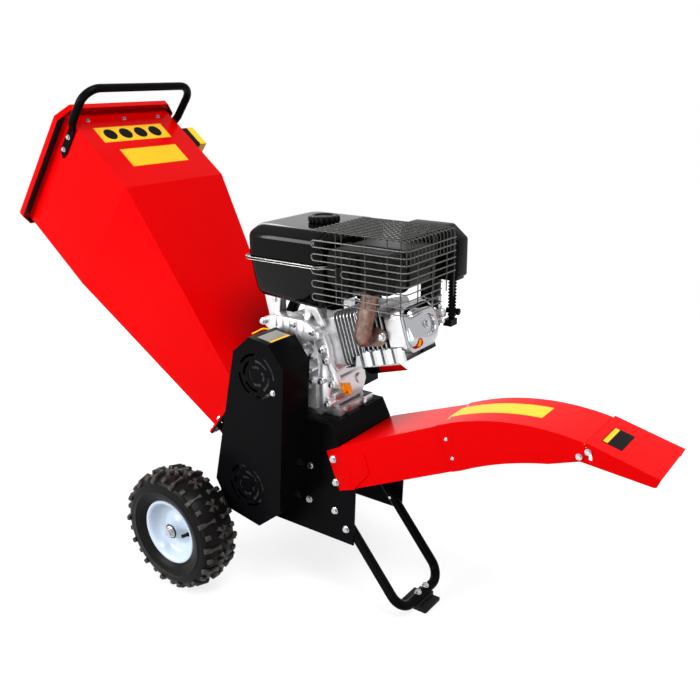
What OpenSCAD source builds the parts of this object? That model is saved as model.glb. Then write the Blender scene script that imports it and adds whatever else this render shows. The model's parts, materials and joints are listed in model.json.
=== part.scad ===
// Petrol garden shredder: feed hopper, chipping rotor in a plate housing, belt drive, single-cylinder engine,
// discharge chute with a tilting deflector, two wheels and a front leg. Millimetres and degrees.

/* [Main sizes] */
// Overall length, from the mouth frame's lower edge to the deflector's tip
overall_l = 1846.5; // [1810:0.5:1890]

/* [Wheels] */
// Radius of the tyre over its tread lugs
tyre_r = 165; // [155:1:175]
// Width of the tyre
tyre_w = 108; // [96:1:112]
// Height of the tread lugs
lug_h = 8; // [5:0.5:10]
// Tread lugs around one row
lug_count = 18; // [14:2:22]
// Radius of the rim's outer edge
rim_r = 88; // [80:1:94]
// Distance from the middle plane to the middle of a tyre
wheel_y = 276; // [274:1:300]
// Length of the wheel hub
hub_l = 70; // [56:1:80]
// Radius of the axle where the wheels turn
axle_r = 9.5; // [8:0.5:11]

/* [Housing] */
// Outer width over the two side plates
housing_w = 226; // [222:1:234]
// Thickness of the side plates, platform and casing
plate_t = 4; // [3:0.5:5]
// Height of the side plates' lower edge
plate_low = 180; // [172:1:186]
// Front end of the side plates, ahead of the axle
plate_front = 447; // [440:1:452]
// Height of the engine platform's top
platform_z = 492; // [486:1:500]
// Front edge of the engine platform, ahead of the axle
platform_x = 384; // [380:1:390]
// Depth of the platform's folded front
platform_fold = 48; // [42:1:54]
// Rotor axis, ahead of the axle
rotor_x = 187; // [182:1:192]
// Height of the rotor axis
rotor_z = 313; // [309:1:317]
// Radius that the knife edges sweep
knife_sweep = 104; // [100:1:106]
// Gap between the knife sweep and the casing
casing_gap = 8; // [6:0.5:10]
// Radius of the rotor shaft
rotor_shaft_r = 15; // [12:0.5:17]

/* [Hopper] */
// Slope of the hopper floor
hopper_tilt = 38.75; // [37:0.25:40]
// Lower edge of the throat, ahead of the axle
throat_x = -9; // [-14:1:-4]
// Height of the throat's lower edge
throat_z = 388; // [384:1:392]
// Height of the throat
throat_h = 149; // [140:1:156]
// Length of the straight box at the mouth
box_l = 290; // [270:2:310]
// Width of the straight box
box_w = 348; // [330:2:360]
// Height of the straight box
box_h = 367; // [350:1:380]
// Thickness of the hopper and chute sheet
sheet_t = 2; // [1.5:0.25:3]
// How far the mouth frame stands out round the box
mouth_lip = 28; // [22:1:34]
// Depth of the mouth frame's folded edge
mouth_fold = 17; // [12:1:22]
// Corner cut of the mouth frame
mouth_cut = 36; // [26:1:44]
// Radius of the carrying handle's tube
handle_r = 11; // [9:0.5:12]
// Rise of the handle bar above the box
handle_rise = 122; // [110:1:140]
// Length of the rubber feed curtain
curtain_l = 300; // [240:5:330]

/* [Chute] */
// Inlet of the chute, ahead of the axle
chute_x = 412; // [410:1:414]
// Height of the chute's top at its inlet
chute_z = 444; // [442:1:447]
// Rise angle of the chute base
chute_tilt = 22.7; // [21.5:0.1:24]
// Length of the straight chute base along its top
chute_l = 292; // [280:1:305]
// Depth of the chute base, square to its slope
chute_h = 110; // [104:1:116]
// Width of the chute base at its outer end
chute_end_w = 158; // [150:1:166]
// Radius of the curved hood's top
hood_r = 578; // [560:2:600]
// Angle that the hood's top turns through
hood_turn = 32; // [30:0.5:33]
// Radius of the hood's lower edge
hood_under_r = 724; // [700:4:750]
// Steepness of the hood's lower edge where it starts, over the base's slope
hood_under_turn = 6; // [5:0.5:7]
// Length of the hood's collar over the base
hood_lap = 24; // [18:1:30]
// Length of the deflector
deflector_l = 158; // [145:1:170]
// How far the deflector droops below the hood's end
deflector_drop = 5; // [3:0.5:7]
// Depth of the deflector's sides at its tip
deflector_tip = 17; // [14:0.5:22]

/* [Leg] */
// Radius of the leg's tube
leg_r = 12.5; // [11:0.5:14]
// Radius of the leg's bends
leg_bend = 46; // [40:1:52]
// Slope of the leg
leg_tilt = 51; // [49:0.5:52]
// Length of the rubber foot
foot_l = 66; // [58:1:74]
// Width of the rubber foot
foot_w = 64; // [56:1:72]
// Height of the rubber foot under the leg's tube
foot_t = 18; // [14:1:22]

/* [Drive] */
// Crank axis, ahead of the axle
crank_x = 238; // [235:1:241]
// Height of the crank axis over the engine's feet
shaft_height = 126; // [122:1:130]
// Radius of the crankshaft
crank_r = 12.7; // [11:0.1:14]
// Radius of the pulley on the crankshaft
drive_r = 48; // [44:1:50]
// Radius of the pulley on the rotor shaft
driven_r = 58; // [54:1:64]
// Width of a drive belt at its back
belt_w = 13; // [11:0.5:15]
// Depth of the belt cover
cover_d = 99; // [96:1:102]
// Outer radius of the belt cover's vents
vent_r = 57; // [50:1:60]

/* [Engine] */
// Rise of the cylinder above level
cylinder_tilt = 16.5; // [15.5:0.5:17.5]
// Height of the cylinder's axis over the crank axis, square to it
cylinder_lift = 33; // [30:1:36]
// Radius of the crankcase barrel
case_r = 92; // [88:1:94]
// Length of the crankcase along the crank
case_l = 162; // [156:1:168]
// Depth of the crankcase side cover
side_cover_d = 36; // [32:1:40]
// Distance from the crank axis to the cylinder's foot
cylinder_start = 150; // [146:1:154]
// Length of the finned cylinder
cylinder_l = 66; // [62:1:70]
// Cooling fins on the cylinder
fin_count = 7; // [5:1:8]
// Height of a cooling fin, square to the cylinder
fin_h = 134; // [128:1:138]
// Width of a cooling fin
fin_w = 128; // [122:1:132]
// Length of the cylinder head
head_l = 124; // [118:1:128]
// Depth of the rocker cover
rocker_l = 42; // [36:1:46]
// Radius of the exhaust elbow
exhaust_r = 19; // [16:0.5:21]
// Length of the muffler
muffler_l = 186; // [176:1:192]
// Width of the muffler
muffler_w = 172; // [160:1:180]
// Height of the muffler
muffler_h = 92; // [84:1:98]
// Thickness of the guard's wires
wire_t = 3; // [2:0.25:4]
// Spacing of the guard's wires
wire_pitch = 15.5; // [13:0.5:18]
// Length of the fuel tank
tank_l = 236; // [226:1:240]
// Width of the fuel tank
tank_w = 275; // [262:1:280]
// Height of the tank's underside over the crank axis
tank_z = 178; // [174:1:182]
// Height of the fuel tank
tank_h = 162; // [154:1:168]
// Radius of the fuel cap
cap_r = 35; // [30:1:40]
// Radius of the fan and starter housing
recoil_r = 116; // [110:1:118]
// Depth of the fan and starter housing
recoil_d = 104; // [98:1:110]

/* [Fits] */
// Running clearance of a shaft in its bore
fit = 0.06; // [0.03:0.01:0.1]
// Clearance of a bolt in its hole, and between fitted pieces
ease = 0.3; // [0.2:0.05:0.5]
// Clearance between pieces that pass each other
pass = 0.6; // [0.4:0.1:1]

/* [Hidden] */
$fn = 48;
half_w = housing_w / 2;
inner_y = half_w - plate_t;
casing_r = knife_sweep + casing_gap;
crank_z = platform_z + shaft_height;
cover_y = -half_w - cover_d;
bolt_r = 4;
head_r = 7.5;
washer_t = 1.6;

// Points in the hopper's own axes: a runs down the floor from the mouth, b stands square to it.
function hop(a, b) = [
  throat_x + a * cos(hopper_tilt) + b * sin(hopper_tilt),
  throat_z - a * sin(hopper_tilt) + b * cos(hopper_tilt)];
flange_t = 5;
flange_lip = 16;
collar_l = (throat_z + throat_h * cos(hopper_tilt) - platform_z + plate_t) / sin(hopper_tilt);
collar_top = hop(collar_l, throat_h);
collar_low = hop(collar_l, 0);

// Points in the chute's own axes: a runs along its top from the inlet, b stands square to it.
function chu(a, b) = [
  chute_x + a * cos(chute_tilt) - b * sin(chute_tilt),
  chute_z + a * sin(chute_tilt) + b * cos(chute_tilt)];
chute_low = chute_z - chute_h / cos(chute_tilt);
sleeve_half = half_w + sheet_t;
chute_half = chute_end_w / 2;
hood_half = chute_half + ease;
hood_end_tilt = chute_tilt - hood_turn;
hood_centre = chu(chute_l, -hood_r);
hood_end = hood_centre + hood_r * [-sin(hood_end_tilt), cos(hood_end_tilt)];
deflector_lift = 4;
deflector_gap = 4;
deflector_tilt = hood_end_tilt - deflector_drop;
deflector_half = hood_half + sheet_t + pass;
pivot_low = 29;
slot_r = 23;
lock_angle = 55;

// The frame's origin lies under the middle of the whole machine.
right_end = hood_end[0] + deflector_l * cos(deflector_tilt)
  - (deflector_lift + sheet_t) * sin(deflector_tilt);
left_end = right_end - overall_l;
mid_x = (left_end + right_end) / 2;
// The hopper fills the length that is left, with a tapered neck ahead of its straight box.
hopper_l = (throat_x - mouth_lip * sin(hopper_tilt) - left_end) / cos(hopper_tilt);
neck_l = hopper_l - box_l;

// Leg: its tubes run down from the side plates to a cross tube over the foot.
leg_y = inner_y - leg_r - ease;
leg_bolt_pitch = 54;
leg_top = [380, 278];
leg_foot_z = foot_t + leg_r;
leg_run = (leg_top[1] - leg_foot_z) / sin(leg_tilt);
leg_foot_x = leg_top[0] + leg_run * cos(leg_tilt);
leg_bolts = [for (k = [0, 1]) leg_top + (20 + k * leg_bolt_pitch) * [cos(leg_tilt), -sin(leg_tilt)]];

// Bolts through the side plates: chute ears, casing.
ear_bolts = [[chute_x - 19, chute_low + 81], [chute_x + 7 - 19, chute_low + 20]];
casing_bolts = [[rotor_x + 130, rotor_z + 52], [rotor_x + 124, rotor_z - 44]];

// Engine stations along the cylinder, from the crank axis.
head_start = cylinder_start + cylinder_l;
rocker_start = head_start + head_l;
case_near = -half_w + 3 + side_cover_d;
case_far = case_near + case_l;
cover_face = case_near - side_cover_d;
head_half = fin_w / 2 - 2;
port_a = head_start + 49;
tank_near = cover_face;
tank_left = -108;
seam_z = tank_z + tank_h / 2;
tank_right = tank_left + tank_l;
muffler_x = tank_right + 10;
muffler_z = tank_z + 39;
muffler_near = tank_near + 6;
guard_near = tank_near - 14;
guard_x = tank_right - 26;
guard_end = muffler_x + muffler_l + 34;
guard_top = tank_z + tank_h + 9;
guard_low = tank_z + 4;
guard_far = guard_near + 236;
recoil_near = case_far;
recoil_far = recoil_near + recoil_d;

// Frames and shared shapes

// Moves the machine from the axle's axes to the frame under its middle.
module stand() translate([-mid_x, 0, 0]) children();

module hopper_frame() translate([throat_x, 0, throat_z]) rotate([0, hopper_tilt, 0]) children();

module chute_frame() translate([chute_x, 0, chute_z]) rotate([0, -chute_tilt, 0]) children();

module deflector_frame() translate([hood_end[0], 0, hood_end[1]]) rotate([0, -deflector_tilt, 0]) children();

module engine_frame() translate([crank_x, 0, crank_z]) children();

module cylinder_frame() engine_frame() rotate([0, -cylinder_tilt, 0]) translate([0, 0, cylinder_lift]) children();

module both_sides() {
  children();
  mirror([0, 1, 0]) children();
}

// Extrudes a side-view outline between two depths.
module plate_y(y0, y1) translate([0, y1, 0]) rotate([90, 0, 0]) linear_extrude(y1 - y0) children();

// Extrudes a front-view outline between two stations.
module plate_x(x0, x1) translate([x0, 0, 0]) rotate([90, 0, 90]) linear_extrude(x1 - x0) children();

module bar_y(r, y0, y1) translate([0, y1, 0]) rotate([90, 0, 0]) cylinder(r = r, h = y1 - y0);

module at_xz(p) translate([p[0], 0, p[1]]) children();

module block(low, high) translate(low) cube(high - low);

module rounded(w, h, r) {
  square([w - 2 * r, h], center = true);
  square([w, h - 2 * r], center = true);
  for (x = [-1, 1], y = [-1, 1]) translate([x * (w / 2 - r), y * (h / 2 - r)]) circle(r = r);
}

module octagon(w, h, cut) polygon([for (q = [[1, 1], [-1, 1], [-1, -1], [1, -1]])
  each let (a = [q[0] * (w / 2 - cut), q[1] * h / 2], b = [q[0] * w / 2, q[1] * (h / 2 - cut)])
    q[0] * q[1] > 0 ? [b, a] : [a, b]]);

// Moves each edge of a convex outline, listed clockwise, inwards by d.
function inset(p, d) = let (n = len(p)) [for (i = [0 : n - 1])
  let (u = p[i] - p[(i + n - 1) % n], v = p[(i + 1) % n] - p[i],
    e = u / norm(u), f = v / norm(v), m = [e[1] + f[1], -e[0] - f[0]])
  p[i] + m * d / (1 + e * f)];

// Hollow or solid form through rectangular sections, each [station, width, lower, upper].
module loft(s) polyhedron(
  points = [for (e = s) each [[e[0], -e[1] / 2, e[2]], [e[0], e[1] / 2, e[2]],
    [e[0], e[1] / 2, e[3]], [e[0], -e[1] / 2, e[3]]]],
  faces = concat([[0, 1, 2, 3], [for (k = [3 : -1 : 0]) 4 * (len(s) - 1) + k]],
    [for (i = [0 : len(s) - 2], k = [0 : 3])
      [for (c = [[1, k], [1, (k + 1) % 4], [0, (k + 1) % 4], [0, k]]) 4 * (i + c[0]) + c[1]]]));

// Hexagon bolt that points up, with its washer's underside at the origin and its shank below.
module hex_bolt(shank, r = bolt_r) {
  if (shank > 0) translate([0, 0, -shank]) cylinder(r = r, h = shank);
  cylinder(r = r * 2.3, h = washer_t);
  translate([0, 0, washer_t]) cylinder(r = r * 1.85, h = r * 1.3, $fn = 6);
}

// Puts a bolt on the right side of the machine at a side-view point, heading outwards at depth y.
module right_bolts(points, y, shank, r = bolt_r)
  for (p = points) translate([p[0], y, p[1]]) rotate([90, 0, 0]) hex_bolt(shank, r);

// Wheels

crown_arc = 120;
rim_half = 40;
bead_half = rim_half - ease;

module tyre_section(r) difference() {
  intersection() {
    translate([r - crown_arc, 0]) circle(r = crown_arc, $fn = 96);
    union() {
      translate([rim_r + 12, -tyre_w / 2]) square([r, tyre_w]);
      polygon([[rim_r - 10, -bead_half], [rim_r + 0.6, -bead_half], [rim_r + 13, -tyre_w / 2],
        [rim_r + 13, tyre_w / 2], [rim_r + 0.6, bead_half], [rim_r - 10, bead_half]]);
    }
  }
  translate([0, -tyre_w]) square([rim_r - 10, 2 * tyre_w]);
  translate([rim_r - 12, 9 - bead_half]) square([22, 2 * (bead_half - 9)]);
  translate([(rim_r + r - 7) / 2, 0]) rounded(r - rim_r - 17, tyre_w - 20, 14);
}

// Cross-shaped tread lug, laid flat.
module lug_cross() for (a = [-38, 38]) rotate(a) square([29, 8], center = true);

// Puts a lug on the tyre's crown, turned from the middle plane by a.
module on_crown(a) translate([0, 0, tyre_r - lug_h - crown_arc]) rotate([a, 0, 0])
  translate([0, 0, crown_arc - 5]) linear_extrude(lug_h + 5) children();

module tyre() {
  rotate([90, 0, 0]) rotate_extrude($fn = 96) tyre_section(tyre_r - lug_h);
  for (i = [0 : lug_count - 1]) {
    // The middle row has one lug straight below the axle.
    rotate([0, 180 + i * 360 / lug_count, 0]) {
      on_crown(0) lug_cross();
      for (s = [-1, 1]) on_crown(s * 21.5) square([17, 11], center = true);
    }
    rotate([0, 180 + (i + 0.5) * 360 / lug_count, 0]) for (s = [-1, 1]) on_crown(s * 13) lug_cross();
  }
}

// Dished steel rim with its hub, outer side towards -Y.
module rim() rotate([90, 0, 0]) rotate_extrude($fn = 96) {
  seat = rim_r - 10 - ease;
  hub_r = axle_r + 11;
  polygon([[seat, -rim_half], [seat, rim_half], [rim_r, rim_half], [rim_r, rim_half + 3],
    [seat - 3, rim_half + 3], [seat - 3, rim_half - 2], [seat - 7, 22], [hub_r + 22, 8], [hub_r - 1, 18],
    [hub_r - 1, 15], [hub_r + 22, 4.5], [seat - 6, 17], [seat - 3, 14], [seat - 3, -rim_half - 3],
    [rim_r, -rim_half - 3], [rim_r, -rim_half]]);
  translate([axle_r + fit, -hub_l / 2]) square([hub_r - axle_r - fit, hub_l]);
}

module at_wheel(side) translate([0, side * wheel_y, tyre_r]) children();

module tyre_right() color("#1b1b1c") stand() at_wheel(-1) tyre();

module tyre_left() color("#1b1b1c") stand() at_wheel(1) mirror([0, 1, 0]) tyre();

module rim_right() color("#f2f4f7") stand() at_wheel(-1) rim();

module rim_left() color("#f2f4f7") stand() at_wheel(1) mirror([0, 1, 0]) rim();

axle_collar = wheel_y - hub_l / 2 - pass;
axle_end = wheel_y + hub_l / 2 + 14;
axle_mid_r = axle_r + 4;

module axle() color("#3a3a3c") stand() translate([0, 0, tyre_r]) {
  bar_y(axle_r, -axle_end, axle_end);
  bar_y(axle_mid_r, -axle_collar, axle_collar);
}

module axle_nuts() color("#c9ccd0") stand() translate([0, 0, tyre_r]) both_sides()
  translate([0, -wheel_y - hub_l / 2 - pass, 0]) rotate([90, 0, 0]) difference() {
    union() {
      cylinder(r = axle_r + 7, h = 2);
      translate([0, 0, 2]) cylinder(r = axle_r + 4.5, h = 8, $fn = 6);
    }
    translate([0, 0, -1]) cylinder(r = axle_r + ease / 2, h = 20);
  }

// Housing

chute_foot = chute_low - 3;
plate_nose = [plate_front + 8, chute_foot + (plate_front + 8 - chute_x) * tan(chute_tilt)];
fold_x = platform_fold / 2;
fold_n = plate_t * [-platform_fold, -fold_x] / norm([platform_fold, fold_x]);
axle_lobe = axle_mid_r + 18;

module side_plate() difference() {
  union() {
    plate_y(-half_w, -inner_y) polygon([collar_top,
      [platform_x + fold_n[0] + (fold_n[1] + plate_t) / 2, platform_z - plate_t],
      [platform_x + fold_x, platform_z - platform_fold] + fold_n,
      [chute_x - 1, platform_z - platform_fold + fold_n[1]],
      [chute_x - 1, chute_foot], plate_nose, [plate_front, plate_low], [axle_lobe + 60, plate_low],
      [0, tyre_r - 9], [-14, tyre_r + 9], collar_low]);
    at_xz([0, tyre_r]) bar_y(axle_lobe, -half_w, -inner_y);
  }
  at_xz([0, tyre_r]) bar_y(axle_mid_r + ease / 2, -housing_w, 0);
  at_xz([rotor_x, rotor_z]) bar_y(rotor_shaft_r + 6, -housing_w, 0);
  for (p = concat(leg_bolts, ear_bolts, casing_bolts)) at_xz(p) bar_y(bolt_r + ease, -housing_w, 0);
}

module side_plate_right() color("#161617") stand() side_plate();

module side_plate_left() color("#161617") stand() mirror([0, 1, 0]) side_plate();

module engine_platform() color("#161617") stand() difference() {
  plate_y(-half_w, half_w) {
    polygon([[platform_x, platform_z], [platform_x + fold_x, platform_z - platform_fold],
      [platform_x + fold_x, platform_z - platform_fold] + fold_n,
      [platform_x + fold_n[0] + (fold_n[1] + plate_t) / 2, platform_z - plate_t],
      [collar_top[0], platform_z - plate_t], [collar_top[0], platform_z]]);
  }
  engine_frame() for (p = base_bolts) translate([p[0], p[1], -shaft_height - plate_t - 1])
    cylinder(r = bolt_r + ease, h = plate_t + 2);
}

// Casing round the rotor: inlet flange and collar, floor, wrap and exit ramp.
exit_p = [chute_x - 4, chute_low + sheet_t];
exit_d = exit_p - [rotor_x, rotor_z];
exit_angle = atan2(exit_d[1], exit_d[0]) - acos(casing_r / norm(exit_d));
floor_d = hop(0, plate_t) - [rotor_x, rotor_z];
floor_along = floor_d * [cos(hopper_tilt), -sin(hopper_tilt)];
floor_l = -floor_along - sqrt(pow(casing_r, 2) - floor_d * floor_d + pow(floor_along, 2));
floor_end = hop(floor_l, plate_t) - [rotor_x, rotor_z];
wrap_start = atan2(floor_end[1], floor_end[0]);

module casing_sheets() {
  out = [cos(exit_angle), sin(exit_angle)];
  touch = [rotor_x, rotor_z] + casing_r * out;
  polygon([touch, exit_p, exit_p + plate_t * out, touch + plate_t * out]);
  translate([rotor_x, rotor_z]) difference() {
    circle(r = casing_r + plate_t, $fn = 96);
    circle(r = casing_r, $fn = 96);
    // Keeps the arc from the floor's end, under the rotor, to the exit ramp.
    far = 3 * casing_r;
    first = wrap_start < 0 ? wrap_start + 360 : wrap_start;
    last = exit_angle + 360;
    polygon([[0, 0], for (k = [0 : 6]) let (a = last - 360 + k * (first - last + 360) / 6)
      far * [cos(a), sin(a)]]);
  }
  difference() {
    translate([throat_x, throat_z]) rotate(-hopper_tilt) translate([collar_l - 8, 0])
      square([floor_l - collar_l + 20, plate_t]);
    translate([rotor_x, rotor_z]) circle(r = casing_r, $fn = 96);
  }
}

module rotor_casing() color("#1d1d1f") stand() {
  difference() {
    plate_y(-inner_y, inner_y) casing_sheets();
    anvil_bolt_holes();
  }
  hopper_frame() {
    plate_x(flange_t, collar_l) collar_outline(0);
    difference() {
      plate_x(0, flange_t) collar_outline(flange_lip);
      throat_bolt_places() translate([0, 0, -3 * flange_t]) cylinder(r = 3 + ease, h = 4 * flange_t);
    }
  }
}

module collar_outline(lip) difference() {
  translate([-half_w - lip, -lip]) square([housing_w + 2 * lip, throat_h + 2 * lip]);
  translate([-inner_y, plate_t]) square([2 * inner_y, throat_h - 2 * plate_t]);
}

anvil_t = 10;
anvil_l = 46;
anvil_bolt_y = [-70, 0, 70];

module anvil_bolt_holes() hopper_frame() for (y = anvil_bolt_y)
  translate([floor_l - anvil_l / 2 - 4, y, -1]) cylinder(r = bolt_r + ease, h = plate_t + anvil_t + 2);

// Bed knife on the casing floor, its edge close to the knife sweep.
module anvil_knife() color("#8b8e93") stand() difference() {
  hopper_frame() translate([floor_l - anvil_l, -inner_y + pass, plate_t])
    cube([anvil_l + 16, 2 * (inner_y - pass), anvil_t]);
  at_xz([rotor_x, rotor_z]) bar_y(knife_sweep + 2, -half_w, half_w, $fn = 96);
  anvil_bolt_holes();
}

// Belt drive and rotor

bearing_r = rotor_shaft_r + 22;
bearing_d = 20;
pulley_w = 2 * belt_w + 16;
pulley_y = -half_w - bearing_d - 12 - pulley_w / 2;

module rotor_bearings() color("#4c4f54") stand() at_xz([rotor_x, rotor_z]) both_sides() difference() {
  union() {
    bar_y(bearing_r, -half_w - 8, -half_w);
    bar_y(rotor_shaft_r + 14, -half_w - bearing_d, -half_w - 7);
  }
  bar_y(rotor_shaft_r + fit, -half_w - 2 * bearing_d, half_w);
}

module rotor_shaft() color("#9a9da2") stand() at_xz([rotor_x, rotor_z])
  bar_y(rotor_shaft_r, pulley_y - pulley_w / 2 - 6, half_w + bearing_d + 5);

drum_half = inner_y - 9;
disc_r = knife_sweep - 16;
carrier_r = disc_r - 26;
knife_t = 8;

// Rotor weldment: two discs on a hub tube, joined by the two knife carriers.
module rotor_drum() color("#54565b") stand() at_xz([rotor_x, rotor_z]) difference() {
  union() {
    both_sides() bar_y(disc_r, -drum_half, -drum_half + 10);
    bar_y(rotor_shaft_r + 12, -drum_half, drum_half);
    for (a = [0, 180]) rotate([0, a, 0])
      block([carrier_r, -drum_half, -24], [disc_r - 4, drum_half, -knife_t / 2]);
  }
  bar_y(rotor_shaft_r + ease / 2, -half_w, half_w);
  for (a = [0, 180]) rotate([0, a, 0])
    block([carrier_r - 14, -half_w, -knife_t / 2], [disc_r + 4, half_w, knife_t / 2 + 14]);
}

module rotor_knives() color("#c4c7cb") stand() at_xz([rotor_x, rotor_z]) for (a = [0, 180]) rotate([0, a, 0]) {
  edge = sqrt(pow(knife_sweep, 2) - pow(knife_t / 2, 2));
  plate_y(-drum_half + pass, drum_half - pass) polygon([[carrier_r - 6, -knife_t / 2],
    [edge - 10, -knife_t / 2], [edge - 0.5, knife_t / 2 - 0.5], [edge - 0.5, knife_t / 2],
    [carrier_r - 6, knife_t / 2]]);
  for (y = [-60, 0, 60]) translate([carrier_r + 8, y, knife_t / 2]) hex_bolt(0);
}

// Grooved belt pulley round the Y axis, centred, with its bore.
module pulley(r, bore) rotate([90, 0, 0]) difference() {
  rotate_extrude($fn = 96) difference() {
    translate([bore, -pulley_w / 2]) square([r - bore, pulley_w]);
    for (s = [-1, 1]) translate([0, s * (belt_w / 2 + 3)])
      polygon([[r - belt_w, -belt_w * 0.3 - ease], [r + 1, -belt_w / 2 - 2 * ease],
        [r + 1, belt_w / 2 + 2 * ease], [r - belt_w, belt_w * 0.3 + ease]]);
  }
}

module driven_pulley() color("#3d4045") stand()
  translate([rotor_x, pulley_y, rotor_z]) pulley(driven_r, rotor_shaft_r + ease / 2);

module drive_pulley() color("#3d4045") stand()
  translate([crank_x, pulley_y, crank_z]) pulley(drive_r, crank_r + ease / 2);

// Two wedge belts round both pulleys: an arc on each pulley and two straight runs.
module belt_section() polygon([[-belt_w * 0.7, -belt_w * 0.32], [0, -belt_w / 2], [0, belt_w / 2],
  [-belt_w * 0.7, belt_w * 0.32]]);

module one_belt() {
  span = norm([crank_x - rotor_x, crank_z - rotor_z]);
  lean = acos((driven_r - drive_r) / span);
  run = sqrt(pow(span, 2) - pow(driven_r - drive_r, 2));
  rotate(lean) rotate_extrude(angle = 360 - 2 * lean, $fn = 96) translate([driven_r, 0]) belt_section();
  translate([span, 0, 0]) rotate(-lean) rotate_extrude(angle = 2 * lean, $fn = 96)
    translate([drive_r, 0]) belt_section();
  for (s = [1, -1]) rotate(s * lean) translate([driven_r, 0, 0]) rotate([s * 90, 0, 0])
    translate([0, 0, -0.5]) linear_extrude(run + 1) belt_section();
}

module drive_belts() color("#141414") stand()
  translate([rotor_x, pulley_y, rotor_z]) rotate([90, 0, 0])
    rotate(atan2(crank_z - rotor_z, crank_x - rotor_x))
      for (s = [-1, 1]) translate([0, 0, s * (belt_w / 2 + 3)]) one_belt();

// Belt cover: an eight-sided folded shell, open towards the housing, with two round vents.
cover_outline = [[crank_x - 71, crank_z + 51], [crank_x - 18, crank_z + 95], [crank_x + 42, crank_z + 87],
  [crank_x + 86, crank_z + 32], [rotor_x + 108, rotor_z - 47], [rotor_x + 37, rotor_z - 104],
  [rotor_x - 66, rotor_z - 86], [rotor_x - 108, rotor_z - 10]];
cover_bolt = [crank_x + 53, crank_z - 31];

module vent_slots() for (k = [0 : 2]) let (r = vent_r - k * vent_r * 0.27, w = vent_r * 0.12)
  for (i = [0 : 3]) rotate(i * 90 + k * 32) rotate_extrude(angle = 62) translate([r - w, -3 * sheet_t])
    square([w, 6 * sheet_t]);

module belt_cover() color("#141416") stand() difference() {
  plate_y(cover_y, -half_w) polygon(cover_outline);
  plate_y(cover_y + sheet_t, -half_w + 1) polygon(inset(cover_outline, sheet_t));
  for (p = [[crank_x, crank_z], [rotor_x, rotor_z]])
    translate([p[0], cover_y, p[1]]) rotate([90, 0, 0]) vent_slots();
  at_xz(cover_bolt) bar_y(3 + ease, cover_y - 1, cover_y + sheet_t + 1);
}

module chassis_bolts() color("#cfd3d8") stand() {
  both_sides() {
    right_bolts(leg_bolts, -half_w, plate_t + 2 * leg_r + 2);
    right_bolts(ear_bolts, -ear_y, plate_t + 2 * sheet_t + 3);
    right_bolts(casing_bolts, -half_w, plate_t + 3);
  }
  right_bolts([cover_bolt], cover_y, cover_d - 10, 3);
  for (y = [-1, 1]) translate([leg_foot_x, y * foot_w * 0.28, leg_foot_z + leg_r]) hex_bolt(2 * leg_r + 8);
  hopper_frame() for (y = anvil_bolt_y) translate([floor_l - anvil_l / 2 - 4, y, plate_t + anvil_t])
    hex_bolt(plate_t + anvil_t + 2);
}

// Leg and foot

module tube_x(r, x0, x1) translate([x0, 0, 0]) rotate([0, 90, 0]) cylinder(r = r, h = x1 - x0);

// The leg's own axes: a runs down along its tubes from the top, the cross tube lies at leg_run.
module leg_frame() translate([leg_top[0], 0, leg_top[1]]) rotate([0, leg_tilt, 0]) children();

module leg_solid(r) {
  both_sides() translate([0, -leg_y, 0]) {
    tube_x(r, 0, leg_run - leg_bend);
    translate([leg_run - leg_bend, leg_bend, 0]) rotate(-90) rotate_extrude(angle = 90)
      translate([leg_bend, 0]) circle(r = r);
  }
  translate([leg_run, 0, 0]) bar_y(r, -leg_y + leg_bend, leg_y - leg_bend);
}

module leg_tube() color("#121213") stand() difference() {
  leg_frame() leg_solid(leg_r);
  for (p = leg_bolts) at_xz(p) bar_y(bolt_r + ease, -half_w, half_w);
  for (y = [-1, 1]) translate([leg_foot_x, y * foot_w * 0.28, 0])
    cylinder(r = bolt_r + ease, h = leg_foot_z + 2 * leg_r);
}

module foot_pad() color("#0f0f10") stand() difference() {
  union() {
    linear_extrude(foot_t * 0.78) translate([leg_foot_x + 2, 0]) octagon(foot_l, foot_w, foot_l * 0.16);
    translate([leg_foot_x - foot_l * 0.35, -foot_w / 2, 0])
      cube([foot_l * 0.6, foot_w, foot_t + leg_r * 0.7]);
  }
  translate([leg_foot_x, 0, leg_foot_z]) bar_y(leg_r + ease / 2, -foot_w, foot_w);
  translate([leg_foot_x, -foot_w, leg_foot_z]) cube([foot_l, 2 * foot_w, leg_r]);
  for (y = [-1, 1]) translate([leg_foot_x, y * foot_w * 0.28, foot_t - 8 - ease])
    cylinder(r = bolt_r + ease, h = foot_t);
}

// Hopper

function hopper_sections(wall, reach) = [
  [-hopper_l + sheet_t - reach, box_w - 2 * wall, wall, box_h - wall],
  [-neck_l, box_w - 2 * wall, wall, box_h - wall],
  [reach, housing_w - 2 * wall, wall, throat_h - wall]];

module hopper() color("#d40a12") stand() hopper_frame() difference() {
  union() {
    loft(hopper_sections(0, 0));
    plate_x(-flange_t, 0) translate([-half_w - flange_lip, -flange_lip])
      square([housing_w + 2 * flange_lip, throat_h + 2 * flange_lip]);
  }
  loft(hopper_sections(sheet_t, 1));
  throat_bolt_places() translate([0, 0, -3 * flange_t]) cylinder(r = 3 + ease, h = 4 * flange_t);
  handle_bolt_places() translate([0, 0, -2 * sheet_t]) cylinder(r = 3 + ease, h = 4 * sheet_t);
  curtain_bolt_places() translate([0, 0, -2 * sheet_t]) cylinder(r = 3 + ease, h = 4 * sheet_t);
}

module mouth_octagon(d) translate([0, box_h / 2])
  octagon(box_w + 2 * (mouth_lip - d), box_h + 2 * (mouth_lip - d), mouth_cut - d * (2 - sqrt(2)));

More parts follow.
